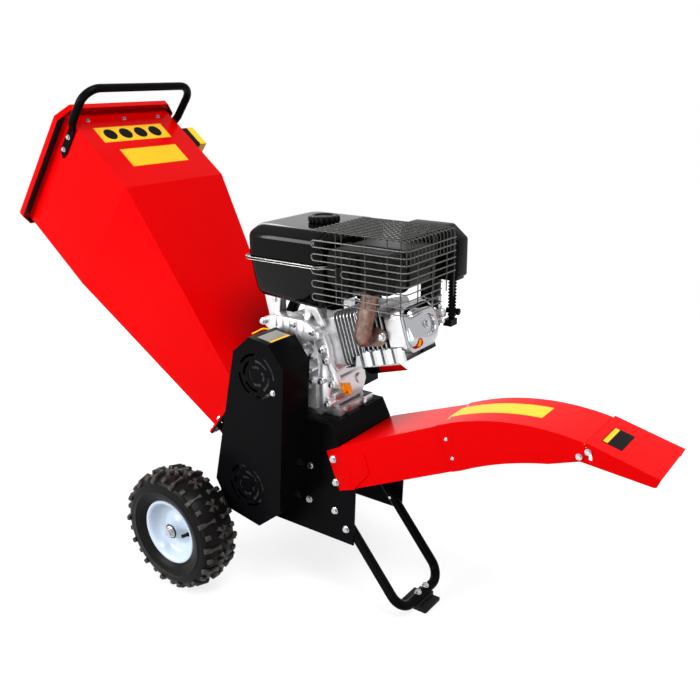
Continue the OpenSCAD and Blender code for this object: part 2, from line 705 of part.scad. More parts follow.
module hopper_mouth() color("#d40a12") stand() hopper_frame() {
  plate_x(-hopper_l, -hopper_l + sheet_t) difference() {
    mouth_octagon(0);
    translate([-box_w / 2 + sheet_t, sheet_t]) square([box_w - 2 * sheet_t, box_h - 2 * sheet_t]);
  }
  plate_x(-hopper_l, -hopper_l + mouth_fold) difference() {
    mouth_octagon(0);
    mouth_octagon(sheet_t);
  }
}

// Places for bolts, each with the bolt's outward way as local Z.
module throat_bolt_places() for (y = [-1, 1], b = [-0.5, 0.25, 0.75, 1])
  translate([0, y * (half_w + flange_lip / 2), b < 0 ? -flange_lip / 2 : b * throat_h]) rotate([0, -90, 0])
    translate([0, 0, flange_t]) children();

handle_a = -hopper_l + 52;
handle_bolt_b = [box_h - 80, box_h - 38];

module handle_bolt_places() for (s = [-1, 1], b = handle_bolt_b)
  translate([handle_a, s * box_w / 2, b]) rotate([-s * 90, 0, 0]) children();

curtain_a = -hopper_l + 36;
curtain_bolt_y = [-0.35, 0, 0.35] * box_w;

module curtain_bolt_places() for (y = curtain_bolt_y) translate([curtain_a, y, box_h]) children();

tab_t = 5;
tab_w = 24;
handle_y = box_w / 2 + handle_r + ease;
handle_bend = 48;

// Bent tube with flattened, pointed ends bolted to the hopper's sides.
module hopper_handle() color("#101011") stand() hopper_frame() difference() {
  translate([handle_a, 0, 0]) {
    top = box_h + handle_rise;
    both_sides() {
      translate([0, -handle_y, box_h + 10]) cylinder(r = handle_r, h = handle_rise - 10 - handle_bend);
      translate([0, -handle_y + handle_bend, top - handle_bend]) rotate([90, 0, -90])
        rotate_extrude(angle = 90) translate([handle_bend, 0]) circle(r = handle_r);
      translate([0, -box_w / 2, 0]) {
        rotate([90, 0, 0]) linear_extrude(tab_t) polygon([[-tab_w / 2, box_h - 14],
          [-tab_w / 2, handle_bolt_b[0] - 10], [tab_w * 0.25, handle_bolt_b[0] - 26],
          [tab_w / 2, handle_bolt_b[0] - 6], [tab_w / 2, box_h - 14]]);
        hull() {
          translate([-tab_w / 2, -tab_t, box_h - 14.5]) cube([tab_w, tab_t, 0.5]);
          translate([0, -handle_r - ease, box_h + 10]) cylinder(r = handle_r, h = 0.5, $fn = 32);
        }
      }
    }
    translate([0, 0, top]) bar_y(handle_r, -handle_y + handle_bend, handle_y - handle_bend);
  }
  handle_bolt_places() translate([0, 0, -1]) cylinder(r = 3 + ease, h = tab_t + 2);
}

module hopper_bolts() color("#cfd3d8") stand() hopper_frame() {
  handle_bolt_places() translate([0, 0, tab_t]) hex_bolt(tab_t + sheet_t + 4, 3);
  curtain_bolt_places() hex_bolt(sheet_t + strip_t, 3);
  throat_bolt_places() hex_bolt(2 * flange_t + 4, 3);
}

strip_t = 4;
strip_w = 22;
curtain_t = 4;
curtain_roll = 5.5;
curtain_hinge_b = box_h - sheet_t - strip_t - curtain_roll - pass;

// Steel strip inside the mouth that carries the curtain's hinge line.
module curtain_strip() color("#3b3b3d") stand() hopper_frame() difference() {
  union() {
    translate([curtain_a - strip_w / 2, -box_w * 0.45, box_h - sheet_t - strip_t])
      cube([strip_w, 0.9 * box_w, strip_t]);
    translate([curtain_a, 0, curtain_hinge_b]) bar_y(3, -box_w * 0.45, box_w * 0.45);
    for (y = [-1, 1]) translate([curtain_a - 3, y * box_w * 0.45 - (y > 0 ? 8 : 0), curtain_hinge_b])
      cube([6, 8, curtain_roll + pass + 1]);
  }
  curtain_bolt_places() translate([0, 0, -sheet_t - strip_t - 0.5]) cylinder(r = 3 + ease, h = 20);
}

// Rubber curtain, slit into strips, hanging straight down from its hinge line.
module feed_curtain() color("#1c1c1d") stand() at_xz(hop(curtain_a, curtain_hinge_b)) {
  curtain_half = box_w * 0.45 - 8 - pass;
  difference() {
    union() {
      bar_y(curtain_roll, -curtain_half, curtain_half);
      block([-curtain_t / 2, -curtain_half, -curtain_l], [curtain_t / 2, curtain_half, 0]);
    }
    bar_y(3 + fit, -box_w, box_w);
    for (k = [-2 : 2]) translate([-curtain_t, k * curtain_half / 3 - 1, -curtain_l - 1])
      cube([2 * curtain_t, 2, curtain_l * 0.8]);
  }
}

switch_a = -hopper_l + 88;
switch_l = 72;
switch_low = box_h - 72;
switch_base_d = 24;
switch_cover_d = 24;
button_r = 17;
button_stem_r = 8;
button_travel = 6;

module switch_outline(cut) translate([switch_a, switch_low])
  polygon([[0, 0], [switch_l - cut, 0], [switch_l, cut], [switch_l, 70], [0, 70]]);

module switch_centre() translate([switch_a + switch_l / 2, 0, switch_low + 35]) children();

module stop_switch_base() color("#202124") stand() hopper_frame()
  plate_y(box_w / 2, box_w / 2 + switch_base_d) switch_outline(8);

module stop_switch_cover() color("#f2b705") stand() hopper_frame() difference() {
  face = box_w / 2 + switch_base_d + switch_cover_d;
  plate_y(box_w / 2 + switch_base_d, face) switch_outline(20);
  switch_centre() {
    bar_y(button_stem_r + fit, face - 18, face + 1);
    bar_y(button_r + ease, face - 2, face + 1);
  }
}

// Red stop button, standing out by its travel.
module stop_button() color("#c4141a") stand() hopper_frame() switch_centre() {
  face = box_w / 2 + switch_base_d + switch_cover_d;
  bar_y(button_stem_r, face - 18 + button_travel + 1, face + button_travel);
  bar_y(button_r, face - 2 + button_travel + 0.5, face + button_travel + 8);
}

// Chute

taper_l = chute_l - hood_lap - 4;
taper = (sleeve_half - chute_half) / taper_l;
ear_y = sleeve_half + sheet_t;

// Plan of the chute's outer side from the inlet to its end, drawn in by d.
function chute_plan(d) = [[-80, -sleeve_half + d], [0, -sleeve_half + d], [taper_l, -chute_half + d],
  [chute_l, -chute_half + d], [chute_l, chute_half - d], [taper_l, chute_half - d], [0, sleeve_half - d],
  [-80, sleeve_half - d]];

// Ear plate over the housing's side plate, cut to its outline and bent along with the chute's side.
ear_outline = [[chute_x - 40, chute_low + 97], [chute_x - 1, chute_low], [chute_x + 42, chute_low + 16],
  [chute_x + 83, chute_low + 68], [chute_x + 65, chute_low + 114], [chute_x - 3, chute_low + 116]];

module chute_base() color("#d8080f") stand() {
  difference() {
    chute_frame() difference() {
      translate([0, 0, -chute_h]) linear_extrude(chute_h) polygon(chute_plan(0));
      translate([0, 0, -chute_h + sheet_t]) linear_extrude(chute_h - 2 * sheet_t)
        polygon([for (p = chute_plan(sheet_t)) [p[0] == chute_l ? p[0] + 1 : p[0], p[1]]]);
    }
    translate([chute_x - 300, -housing_w, 0]) cube([300, 2 * housing_w, 2 * chute_z]);
    chute_frame() rivet_places() translate([0, 0, -5]) cylinder(r = 2 + ease / 2, h = 10);
  }
  both_sides() difference() {
    intersection() {
      plate_y(-ear_y - 4, -half_w + 30) polygon(ear_outline);
      chute_frame() translate([0, 0, -2 * chute_h]) linear_extrude(3 * chute_h) polygon([
        [-90, -ear_y], [0, -ear_y], [120, -ear_y + 120 * taper], [120, -sleeve_half + 120 * taper + 1],
        [0, -half_w], [-90, -half_w]]);
    }
    for (p = ear_bolts) at_xz(p) bar_y(bolt_r + ease, -housing_w, 0);
  }
}

hood_low = chu(chute_l, -chute_h);
hood_under_tilt = chute_tilt + hood_under_turn;
hood_under_centre = hood_low + hood_under_r * [sin(hood_under_tilt), -cos(hood_under_tilt)];
pivot = hood_end + pivot_low * [sin(deflector_tilt), -cos(deflector_tilt)];
lock_bolt = pivot + slot_r * [cos(deflector_tilt + lock_angle), sin(deflector_tilt + lock_angle)];

// Side view of the hood, within the top's radius grown by d.
module hood_side(d) difference() {
  union() {
    intersection() {
      translate(hood_centre) circle(r = hood_r + d, $fn = 360);
      polygon([chu(chute_l, -chute_h), chu(chute_l, d + 1),
        hood_centre + (hood_r + 60) * [0, 1], hood_end + 40 * [-sin(hood_end_tilt), cos(hood_end_tilt)],
        hood_end - (pivot_low + 12) * [-sin(hood_end_tilt), cos(hood_end_tilt)]]);
    }
    translate([chute_x, chute_z]) rotate(chute_tilt) translate([chute_l - hood_lap, -chute_h])
      square([hood_lap + 0.01, chute_h + d]);
    translate(lock_bolt) circle(r = 7.5);
    translate(pivot) circle(r = 9);
    polygon([lock_bolt + [-16, 4], lock_bolt + [2, 7], lock_bolt + [6, -4], pivot + [8, 4], pivot + [-10, 0]]);
  }
  translate(hood_under_centre) circle(r = hood_under_r, $fn = 360);
  for (p = [pivot, lock_bolt]) translate(p) circle(r = 3 + ease);
}

module chute_hood() color("#d8080f") stand() difference() {
  union() {
    both_sides() plate_y(-hood_half - sheet_t, -hood_half) hood_side(ease + sheet_t);
    // Top sheet: a straight collar and an arc.
    chute_frame() {
      block([chute_l - hood_lap, -hood_half - sheet_t, ease], [chute_l, hood_half + sheet_t, ease + sheet_t]);
      translate([chute_l, 0, -hood_r]) rotate([90, 0, 0]) rotate(90 - hood_turn)
        rotate_extrude(angle = hood_turn, $fn = 360) translate([hood_r + ease, -hood_half - sheet_t])
          square([sheet_t, 2 * (hood_half + sheet_t)]);
    }
  }
  chute_frame() rivet_places() translate([0, 0, -5]) cylinder(r = 2 + ease / 2, h = 10);
}

module rivet_places() {
  a = chute_l - hood_lap / 2;
  for (y = [-0.55, 0.55]) translate([a, y * chute_half, ease + sheet_t]) children();
  for (s = [-1, 1], b = [0.3, 0.72])
    translate([a, s * (hood_half + sheet_t), -b * chute_h]) rotate([-s * 90, 0, 0]) children();
}

module chute_rivets() color("#b9bdc2") stand() chute_frame() rivet_places() {
  cylinder(r1 = 4.5, r2 = 2.6, h = 2);
  translate([0, 0, -2 * sheet_t - 1.2]) cylinder(r = 2, h = 2 * sheet_t + 1.3);
}

module deflector() color("#d8080f") stand() deflector_frame() {
  tip_low = deflector_lift - deflector_tip;
  low = [[deflector_l - 2, tip_low], [deflector_l - 6, tip_low - 3]];
  difference() {
    both_sides() plate_y(-deflector_half - sheet_t, -deflector_half) difference() {
      union() {
        polygon([[deflector_gap, deflector_lift + sheet_t], [deflector_l, deflector_lift + sheet_t],
          low[0], low[1], [-2, -pivot_low - 11], [-10, -pivot_low - 6], [-11, -pivot_low + 4]]);
        translate([0, -pivot_low]) circle(r = 11);
      }
      translate([0, -pivot_low]) {
        circle(r = 3 + fit);
        // Arc slot for the lock bolt.
        intersection() {
          difference() {
            circle(r = slot_r + 3.6);
            circle(r = slot_r - 3.6);
          }
          polygon([[0, 0], for (a = [lock_angle - 48 : 18 : lock_angle + 24]) 60 * [cos(a), sin(a)]]);
        }
      }
    }
  }
  block([deflector_gap, -deflector_half - sheet_t, deflector_lift],
    [deflector_l, deflector_half + sheet_t, deflector_lift + sheet_t]);
}

module deflector_bolts() color("#cfd3d8") stand() both_sides() for (p = [pivot, lock_bolt])
  translate([p[0], -deflector_half - sheet_t - pass, p[1]]) rotate([90, 0, 0])
    hex_bolt(2 * sheet_t + 2 * pass + 5, 3);

// Engine

base_bolts = [for (x = [-1, 1], y = [0.22, 0.86]) [x * 108, case_near + y * case_l]];
tank_arms = [[-53, case_near + 22], [76, case_near + 22], [-53, case_far - 24], [76, case_far - 24]];
filler_p = [case_r + 10, case_near + 16, -64];
filler_tilt = 18;
filler_l = 60;
filler_r = 13;

module filler_frame() translate(filler_p) rotate([0, 90 - filler_tilt, 0]) children();

module crankcase() color("#b7b9bc") stand() difference() {
  union() {
    engine_frame() {
      bar_y(case_r, case_near, case_far);
      block([-case_r + 6, case_near, -shaft_height], [case_r - 6, case_far, 0]);
      block([-132, case_near + 16, -shaft_height], [132, case_far - 2, -shaft_height + 18]);
      for (k = [-1, 1]) block([k * 60 - 4, case_near + 4, -shaft_height], [k * 60 + 4, case_far, case_r * 0.7]);
      for (p = tank_arms) block([p[0] - 11, p[1] - 9, case_r * 0.5], [p[0] + 11, p[1] + 9, tank_z]);
      filler_frame() translate([0, 0, -36]) cylinder(r = filler_r + 3, h = filler_l + 36 - 10);
    }
    cylinder_frame() block([0, case_near + 12, -58], [cylinder_start, case_far - 22, 58]);
  }
  engine_frame() {
    bar_y(crank_r + fit, case_near - 1, case_far + 1);
    filler_frame() translate([0, 0, 4]) cylinder(r = filler_r - 3 + ease, h = filler_l);
    for (p = base_bolts) translate([p[0], p[1], -shaft_height - 1]) cylinder(r = bolt_r + ease, h = 40);
    for (p = cover_bolts) translate([p[0], case_near - 1, p[1]]) rotate([-90, 0, 0])
      cylinder(r = 3 + ease, h = 12);
  }
}

cover_bolts = [for (k = [0 : 7]) (case_r - 9) * [cos(22.5 + 45 * k), sin(22.5 + 45 * k)]];

// Crankcase cover on the output side: flange, dome, ribs and bolt bosses.
module side_cover() color("#c3c5c8") stand() engine_frame() difference() {
  union() {
    bar_y(case_r, cover_face + side_cover_d * 0.62, case_near);
    block([-case_r + 10, cover_face + side_cover_d * 0.62, -shaft_height + 20], [case_r - 10, case_near, 0]);
    bar_y(case_r * 0.74, cover_face + side_cover_d * 0.32, case_near);
    bar_y(crank_r + 20, cover_face, case_near);
    for (a = [0 : 45 : 315]) rotate([0, -a, 0])
      block([crank_r + 10, cover_face + side_cover_d * 0.2, -3], [case_r - 8, case_near, 3]);
    for (p = cover_bolts) at_xz(p) bar_y(10, cover_face + side_cover_d * 0.4, case_near);
    at_xz(cover_bolt - [crank_x, crank_z]) bar_y(9, cover_face, case_near);
  }
  bar_y(crank_r + fit, cover_face - 1, case_near + 1);
  for (p = cover_bolts) at_xz(p) bar_y(3 + ease, cover_face - 1, case_near + 1);
  at_xz(cover_bolt - [crank_x, crank_z]) bar_y(3 + ease, cover_face - 1, cover_face + 16);
}

module engine_bolts() color("#c6c9cd") stand() engine_frame() {
  for (p = cover_bolts) translate([p[0], cover_face + side_cover_d * 0.4, p[1]]) rotate([90, 0, 0])
    hex_bolt(side_cover_d * 0.6 + 8, 3);
  for (p = base_bolts) translate([p[0], p[1], -shaft_height + 18]) hex_bolt(18 + plate_t + 4);
  for (s = [-1, 1]) translate([132, case_near + (0.5 + 0.22 * s) * case_l, -shaft_height + 10.5])
    rotate([0, 90, 0]) hex_bolt(0);
}

fin_t = 3;
fin_pitch = (cylinder_l - fin_t) / (fin_count - 1);
cylinder_y = (case_near + 12 + case_far - 22) / 2;

module cylinder_barrel() color("#8f9195") stand() cylinder_frame() translate([0, cylinder_y, 0]) {
  plate_x(cylinder_start, head_start) square([fin_w * 0.66, fin_h * 0.62], center = true);
  for (i = [0 : fin_count - 1]) translate([cylinder_start + i * fin_pitch, 0, 0])
    plate_x(0, fin_t) rounded(fin_w, fin_h, 16);
}

module cylinder_head() color("#a9abaf") stand() cylinder_frame() translate([0, cylinder_y, 0]) {
  plate_x(head_start, rocker_start) rounded(2 * head_half, fin_h * 0.62, 12);
  for (i = [0 : 5]) plate_x(head_start + 6 + i * 13, head_start + 10 + i * 13) difference() {
    rounded(2 * head_half, fin_h, 14);
    translate([0, -fin_h * 0.2]) square([fin_w, fin_h * 0.1], center = true);
  }
  plate_x(rocker_start - 26, rocker_start) rounded(2 * head_half - 2, fin_h * 0.82, 18);
}

// Chromed rocker cover: flange and rounded dome.
module rocker_cover() color("#d9dbde") stand() cylinder_frame() translate([0, cylinder_y, 0]) {
  plate_x(rocker_start, rocker_start + 5) rounded(2 * head_half - 2, fin_h * 0.82, 18);
  hull() {
    plate_x(rocker_start + 4, rocker_start + rocker_l * 0.55) rounded(2 * head_half - 14, fin_h * 0.72, 22);
    plate_x(rocker_start + rocker_l * 0.5, rocker_start + rocker_l)
      rounded(2 * head_half - 44, fin_h * 0.5, 20);
  }
  translate([rocker_start + rocker_l, 0, 0]) rotate([0, 90, 0]) hex_bolt(0);
}

// Bright sheet under the cylinder and head, folded up along its near side.
module cylinder_shroud() color("#c9cbce") stand() cylinder_frame() translate([0, cylinder_y, 0]) {
  low = -fin_h / 2 - ease - sheet_t;
  block([cylinder_start + 4, -fin_w / 2 - ease - sheet_t, low],
    [rocker_start - 6, fin_w / 2 + ease + sheet_t, low + sheet_t]);
  both_sides() block([cylinder_start + fin_pitch * 3, -fin_w / 2 - ease - sheet_t, low],
    [rocker_start - 6, -fin_w / 2 - ease, low + 26]);
}

port_y = cylinder_y - head_half;
elbow_lean = 18;
elbow_bend = 27;
port_xz = [port_a * cos(cylinder_tilt) - cylinder_lift * sin(cylinder_tilt),
  port_a * sin(cylinder_tilt) + cylinder_lift * cos(cylinder_tilt)];

module exhaust_elbow() color("#7a5546") stand() engine_frame() difference() {
  at_xz(port_xz) {
    translate([0, port_y, 0]) rotate([90, 0, 0]) rotate(-30) {
      linear_extrude(7) {
        circle(r = exhaust_r + 5);
        square([2 * exhaust_r + 34, exhaust_r], center = true);
      }
      for (s = [-1, 1]) translate([s * (exhaust_r + 10), 0, 7]) hex_bolt(0, 3.5);
    }
    rotate([0, elbow_lean, 0]) {
      translate([0, port_y - 6, elbow_bend]) rotate([0, 90, 0]) rotate(-90) rotate_extrude(angle = 90)
        translate([elbow_bend, 0]) circle(r = exhaust_r);
      translate([0, port_y - 6 - elbow_bend, elbow_bend]) cylinder(r = exhaust_r, h = 160);
    }
  }
  block([0, -400, muffler_z], [900, 400, 900]);
}

// Hollow muffler with a joint flange and an outlet in its far face.
module muffler() color("#2b2c2e") stand() engine_frame()
  translate([muffler_x + muffler_l / 2, 0, muffler_z + muffler_h / 2]) difference() {
    union() {
      plate_y(muffler_near, muffler_near + muffler_w) rounded(muffler_l, muffler_h, 26);
      plate_y(muffler_near + muffler_w * 0.3, muffler_near + muffler_w * 0.3 + 4)
        rounded(muffler_l + 8, muffler_h + 8, 28);
    }
    plate_y(muffler_near + sheet_t, muffler_near + muffler_w - sheet_t)
      rounded(muffler_l - 2 * sheet_t, muffler_h - 2 * sheet_t, 26 - sheet_t);
    translate([muffler_l * 0.28, 0, 0]) bar_y(13, 0, muffler_near + muffler_w + 1);
  }

// Guard of six-sided wires: loops round the near and outer faces, a grid on top and two straps.
module wire(p, q) translate(p) rotate([0, acos((q - p)[2] / norm(q - p)), atan2((q - p)[1], (q - p)[0])])
  cylinder(d = wire_t, h = norm(q - p), $fn = 6);

module muffler_guard() color("#1a1a1b") stand() engine_frame() {
  rows = floor((guard_top - guard_low) / wire_pitch);
  for (i = [0 : rows]) {
    z = guard_top - i * wire_pitch;
    wire([guard_x, guard_near, z], [guard_end, guard_near, z]);
    wire([guard_end, guard_near - wire_t / 2, z], [guard_end, guard_far, z]);
  }
  low = guard_top - rows * wire_pitch - wire_t / 2;
  strap_z = guard_top - 5 * wire_pitch;
  deep = wire_t * 0.8;
  for (x = [guard_x + 1, guard_x + 62, guard_x + 124, guard_x + 186, guard_end - 16])
    wire([x, guard_near + deep, low], [x, guard_near + deep, guard_top + wire_t / 2]);
  for (k = [1 : floor((guard_far - guard_near) / wire_pitch)]) {
    y = guard_near + k * wire_pitch;
    wire([guard_x, y, guard_top], [guard_end + wire_t / 2, y, guard_top]);
    wire([guard_end - deep, y, guard_top - (k % 3 == 0 ? 9 : 4) * wire_pitch],
      [guard_end - deep, y, guard_top + wire_t / 2]);
  }
  for (x = [guard_x + 1 : wire_pitch * 2 : guard_end - 4])
    wire([x, guard_near - wire_t / 2, guard_top - deep], [x, guard_far, guard_top - deep]);
  // Straps from the guard's near face to the muffler.
  for (x = [muffler_x + 40, muffler_x + muffler_l - 30])
    block([x - 6, guard_near, strap_z - 1.5], [x + 6, muffler_near, strap_z + 1.5]);
}

// Fuel tank: a rounded upper half and a drawn-in lower half, joined at a flange.
module tank_slab(grow, r, z, h) translate([tank_left + tank_l / 2, tank_near + tank_w / 2, z])
  linear_extrude(h) rounded(tank_l + 2 * grow, tank_w + 2 * grow, r);

module tank_upper(d) hull() {
  tank_slab(-3 - d, 24, seam_z, tank_h * 0.32, $fn = 24);
  tank_slab(-9 - d, 24, seam_z + tank_h * 0.32, tank_h * 0.1, $fn = 24);
  tank_slab(-22 - d, 22, seam_z + tank_h / 2 - 1 - d, 1, $fn = 24);
}

module tank_lower(d) hull() {
  tank_slab(-4 - d, 24, seam_z - tank_h * 0.3, tank_h * 0.3, $fn = 24);
  tank_slab(-38 - d, 16, tank_z + d, 1, $fn = 24);
}

module fuel_tank() color("#0e0e10") stand() engine_frame() difference() {
  union() {
    tank_upper(0);
    tank_lower(0);
    tank_slab(6, 28, seam_z - 2.5, 5, $fn = 48);
    translate([cap_x, cap_y, tank_z + tank_h - 2]) cylinder(r = cap_r - 9, h = 10);
  }
  tank_upper(sheet_t);
  tank_lower(sheet_t);
  translate([cap_x, cap_y, tank_z + tank_h - 20]) cylinder(r = cap_r - 12, h = 40);
}

cap_x = tank_left + 146;
cap_y = tank_near + tank_w * 0.46;
cap_z = tank_z + tank_h;

// Ribbed fuel cap, a cup over the filler neck.
module fuel_cap() color("#18181a") stand() engine_frame() translate([cap_x, cap_y, cap_z + pass]) difference() {
  union() {
    cylinder(r = cap_r - 2, h = 20);
    for (a = [0 : 20 : 340]) rotate(a) translate([cap_r - 4, -2.5, 0]) cube([4, 5, 16]);
  }
  translate([0, 0, -1]) cylinder(r = cap_r - 9 + ease, h = 10);
  translate([0, 0, 17]) cylinder(r = cap_r - 12, h = 4);
}

cleaner_x = tank_right + 64;
cleaner_l = 172;
cleaner_near = guard_far + 7;
cleaner_d = 92;
cleaner_z = tank_z + 34;
cleaner_h = 126;
cleaner_split = 22;

// Plate and duct of the air cleaner, on the carburettor's inlet.
module air_cleaner_base() color("#19191a") stand() engine_frame() {
  block([cleaner_x + 4, cleaner_near + 4, cleaner_z], [cleaner_x + cleaner_l - 4, cleaner_near + cleaner_d - 4,
    cleaner_z + cleaner_split]);
  block([carb_x + 4, carb_far, carb_z - 34], [carb_x + carb_l - 4, carb_far + 34, cleaner_z + 2]);
}

module air_cleaner_cover() color("#151516") stand() engine_frame() difference() {
  top = cleaner_z + cleaner_h;
  plate_y(cleaner_near, cleaner_near + cleaner_d) polygon([[cleaner_x, cleaner_z + 6],
    [cleaner_x + cleaner_l, cleaner_z + 6], [cleaner_x + cleaner_l, top - 34],
    [cleaner_x + cleaner_l - 30, top], [cleaner_x + 14, top], [cleaner_x, top - 14]]);
  block([cleaner_x + 4 - ease, cleaner_near + 4 - ease, cleaner_z - 1], [cleaner_x + cleaner_l - 4 + ease,
    cleaner_near + cleaner_d - 4 + ease, cleaner_z + cleaner_split]);
}

carb_l = 50;
carb_x = (head_start + 52) * cos(cylinder_tilt) - cylinder_lift * sin(cylinder_tilt) - carb_l / 2 + 20;
carb_z = (head_start + 52) * sin(cylinder_tilt) + cylinder_lift * cos(cylinder_tilt) + 8;
carb_near = cylinder_y + head_half;
carb_far = carb_near + 62;
lever_y = carb_near + 22;
choke_y = carb_far - 14;
choke_rise = 16;
lever_t = 4;

// Carburettor body with its float bowl, on the head's intake side.
module carburettor() color("#9c9ea2") stand() engine_frame() {
  translate([carb_x + carb_l / 2, 0, carb_z]) {
    bar_y(21, carb_near, carb_far);
    bar_y(26, carb_near, carb_near + 6);
    bar_y(26, carb_far - 6, carb_far);
  }
  translate([carb_x + carb_l / 2, carb_near + 34, carb_z - 48]) difference() {
    cylinder(r = 19, h = 34);
    translate([0, 0, -1]) cylinder(r = 3 + fit, h = 11);
  }
  for (p = [[lever_y, 10], [choke_y, 10 + choke_rise]]) translate([carb_x + carb_l / 2, p[0], carb_z + 18]) {
    cylinder(r = 6, h = p[1]);
    cylinder(r = 2.5, h = p[1] + lever_t + pass + 1);
  }
}

// Lever plate on a short pin, turning round the upright axis.
module lever(length) difference() {
  union() {
    cylinder(r = 7, h = lever_t);
    translate([0, -4, 0]) cube([length, 8, lever_t]);
    translate([length, 0, 0]) cylinder(r = 6, h = 3 * lever_t);
  }
  translate([0, 0, -1]) cylinder(r = 2.5 + fit, h = lever_t + 2);
}

lever_z = carb_z + 28 + pass / 2;

module throttle_lever() color("#2a2b2d") stand() engine_frame()
  translate([carb_x + carb_l / 2, lever_y, lever_z]) rotate(10) lever(44);

module choke_lever() color("#8d9095") stand() engine_frame()
  translate([carb_x + carb_l / 2, choke_y, lever_z + choke_rise]) rotate(10) lever(38);

// Fan and starter housing: a cup bolted to the crankcase, with a slotted end and an opening at its foot side.
recoil_wall = 4;
grip_p = [recoil_r * 0.62, recoil_far - 26, recoil_r * 0.8];

module recoil_housing() color("#1c1d1f") stand() engine_frame() difference() {
  union() {
    bar_y(recoil_r, recoil_near, recoil_far - 30);
    bar_y(recoil_r * 0.72, recoil_far - 31, recoil_far);
    block([-recoil_r, recoil_near, -shaft_height + 30], [recoil_r * 0.9, recoil_far - 40, 0]);
    translate([grip_p[0], 0, 0]) block([-12, recoil_far - 46, 0], [12, recoil_far - 20, grip_p[2] + 10]);
    switch_boss();
  }
  bar_y(flywheel_r + 6, recoil_near + recoil_wall, recoil_far - 30 - recoil_wall);
  bar_y(recoil_r * 0.72 - recoil_wall, recoil_far - 40, recoil_far - recoil_wall);
  bar_y(crank_r + 4, recoil_near - 1, recoil_near + recoil_wall + 1);
  for (a = [0 : 30 : 330]) rotate([0, a, 0]) block([recoil_r * 0.28, recoil_far - 2 * recoil_wall, -3],
    [recoil_r * 0.6, recoil_far + 1, 3]);
  switch_place() translate([0, 0, -14]) cylinder(r = 6 + fit, h = 20);
}

flywheel_r = recoil_r - 16;

module flywheel() color("#77797d") stand() engine_frame() difference() {
  union() {
    bar_y(flywheel_r - 16, recoil_near + 10, recoil_near + 36);
    bar_y(crank_r + 16, recoil_near + 8, recoil_near + 44);
    for (a = [0 : 30 : 330]) rotate([0, a, 0])
      block([flywheel_r - 34, recoil_near + 30, -2], [flywheel_r, recoil_near + 54, 2]);
  }
  bar_y(crank_r + ease / 2, recoil_near - 1, recoil_far);
}

module crankshaft() color("#a5a8ac") stand() engine_frame()
  bar_y(crank_r, pulley_y - pulley_w / 2 - 6, recoil_near + 50);

// Starter grip: a rounded bar seated on the rope exit of the starter housing.
module starter_grip() color("#141415") stand() engine_frame()
  translate([grip_p[0], grip_p[1] - 7, grip_p[2] + 10 + pass]) {
  cylinder(r = 7, h = 14);
  translate([-34, 0, 20]) rotate([0, 90, 0]) cylinder(r = 10, h = 68);
}

module switch_place() translate([-recoil_r * 0.45, recoil_far - 20, recoil_r * 0.78 + 18]) children();

module switch_boss() switch_place() translate([0, 0, -40]) cylinder(r = 15, h = 40);

module engine_switch() color("#b0161b") stand() engine_frame() switch_place() translate([0, 0, pass]) {
  translate([0, 0, -10]) cylinder(r = 6, h = 11);
  cylinder(r = 12, h = 5);
  translate([-3, -11, 4]) cube([6, 22, 9]);
}

module fuel_valve_lever() color("#8d9095") stand() engine_frame()
  translate([carb_x + carb_l / 2, carb_near + 34, carb_z - 48 - pass]) mirror([0, 0, 1]) {
    cylinder(r = 9, h = lever_t);
    translate([0, -4, 0]) cube([30, 8, lever_t]);
    translate([0, 0, -9]) cylinder(r = 3, h = 10);
  }

// Oil filler plug with a finger wing.
module oil_filler_cap() color("#f07d0a") stand() engine_frame() filler_frame()
  translate([0, 0, filler_l - 10 + pass]) {
  translate([0, 0, -20]) cylinder(r = filler_r - 3, h = 21);
  cylinder(r = filler_r + 2, h = 8);
  translate([-filler_r - 1, -3, 7]) cube([2 * filler_r + 2, 6, 11]);
}

side_plate_right();
side_plate_left();
rotor_casing();
engine_platform();
anvil_knife();
rotor_bearings();
axle();
axle_nuts();
belt_cover();
drive_belts();
chassis_bolts();
leg_tube();
foot_pad();
hopper();
hopper_mouth();
hopper_handle();
hopper_bolts();
curtain_strip();
feed_curtain();
stop_switch_base();
stop_switch_cover();
stop_button();
chute_base();
chute_hood();
chute_rivets();
deflector();
deflector_bolts();
rotor_shaft();
rotor_drum();
rotor_knives();
driven_pulley();
crankcase();
side_cover();
engine_bolts();
cylinder_barrel();
cylinder_head();
rocker_cover();
cylinder_shroud();
exhaust_elbow();
muffler();
muffler_guard();
fuel_tank();
fuel_cap();
air_cleaner_base();
air_cleaner_cover();
carburettor();
recoil_housing();
starter_grip();
oil_filler_cap();
throttle_lever();
choke_lever();
fuel_valve_lever();
engine_switch();
crankshaft();
drive_pulley();
flywheel();
tyre_right();
tyre_left();
rim_right();
rim_left();
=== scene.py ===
"""Looks of a petrol garden shredder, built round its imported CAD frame."""

import json
import logging
import math
from dataclasses import dataclass
from enum import Enum
from typing import Iterable, Sequence

import bmesh
import bpy
from mathutils import Matrix, Vector

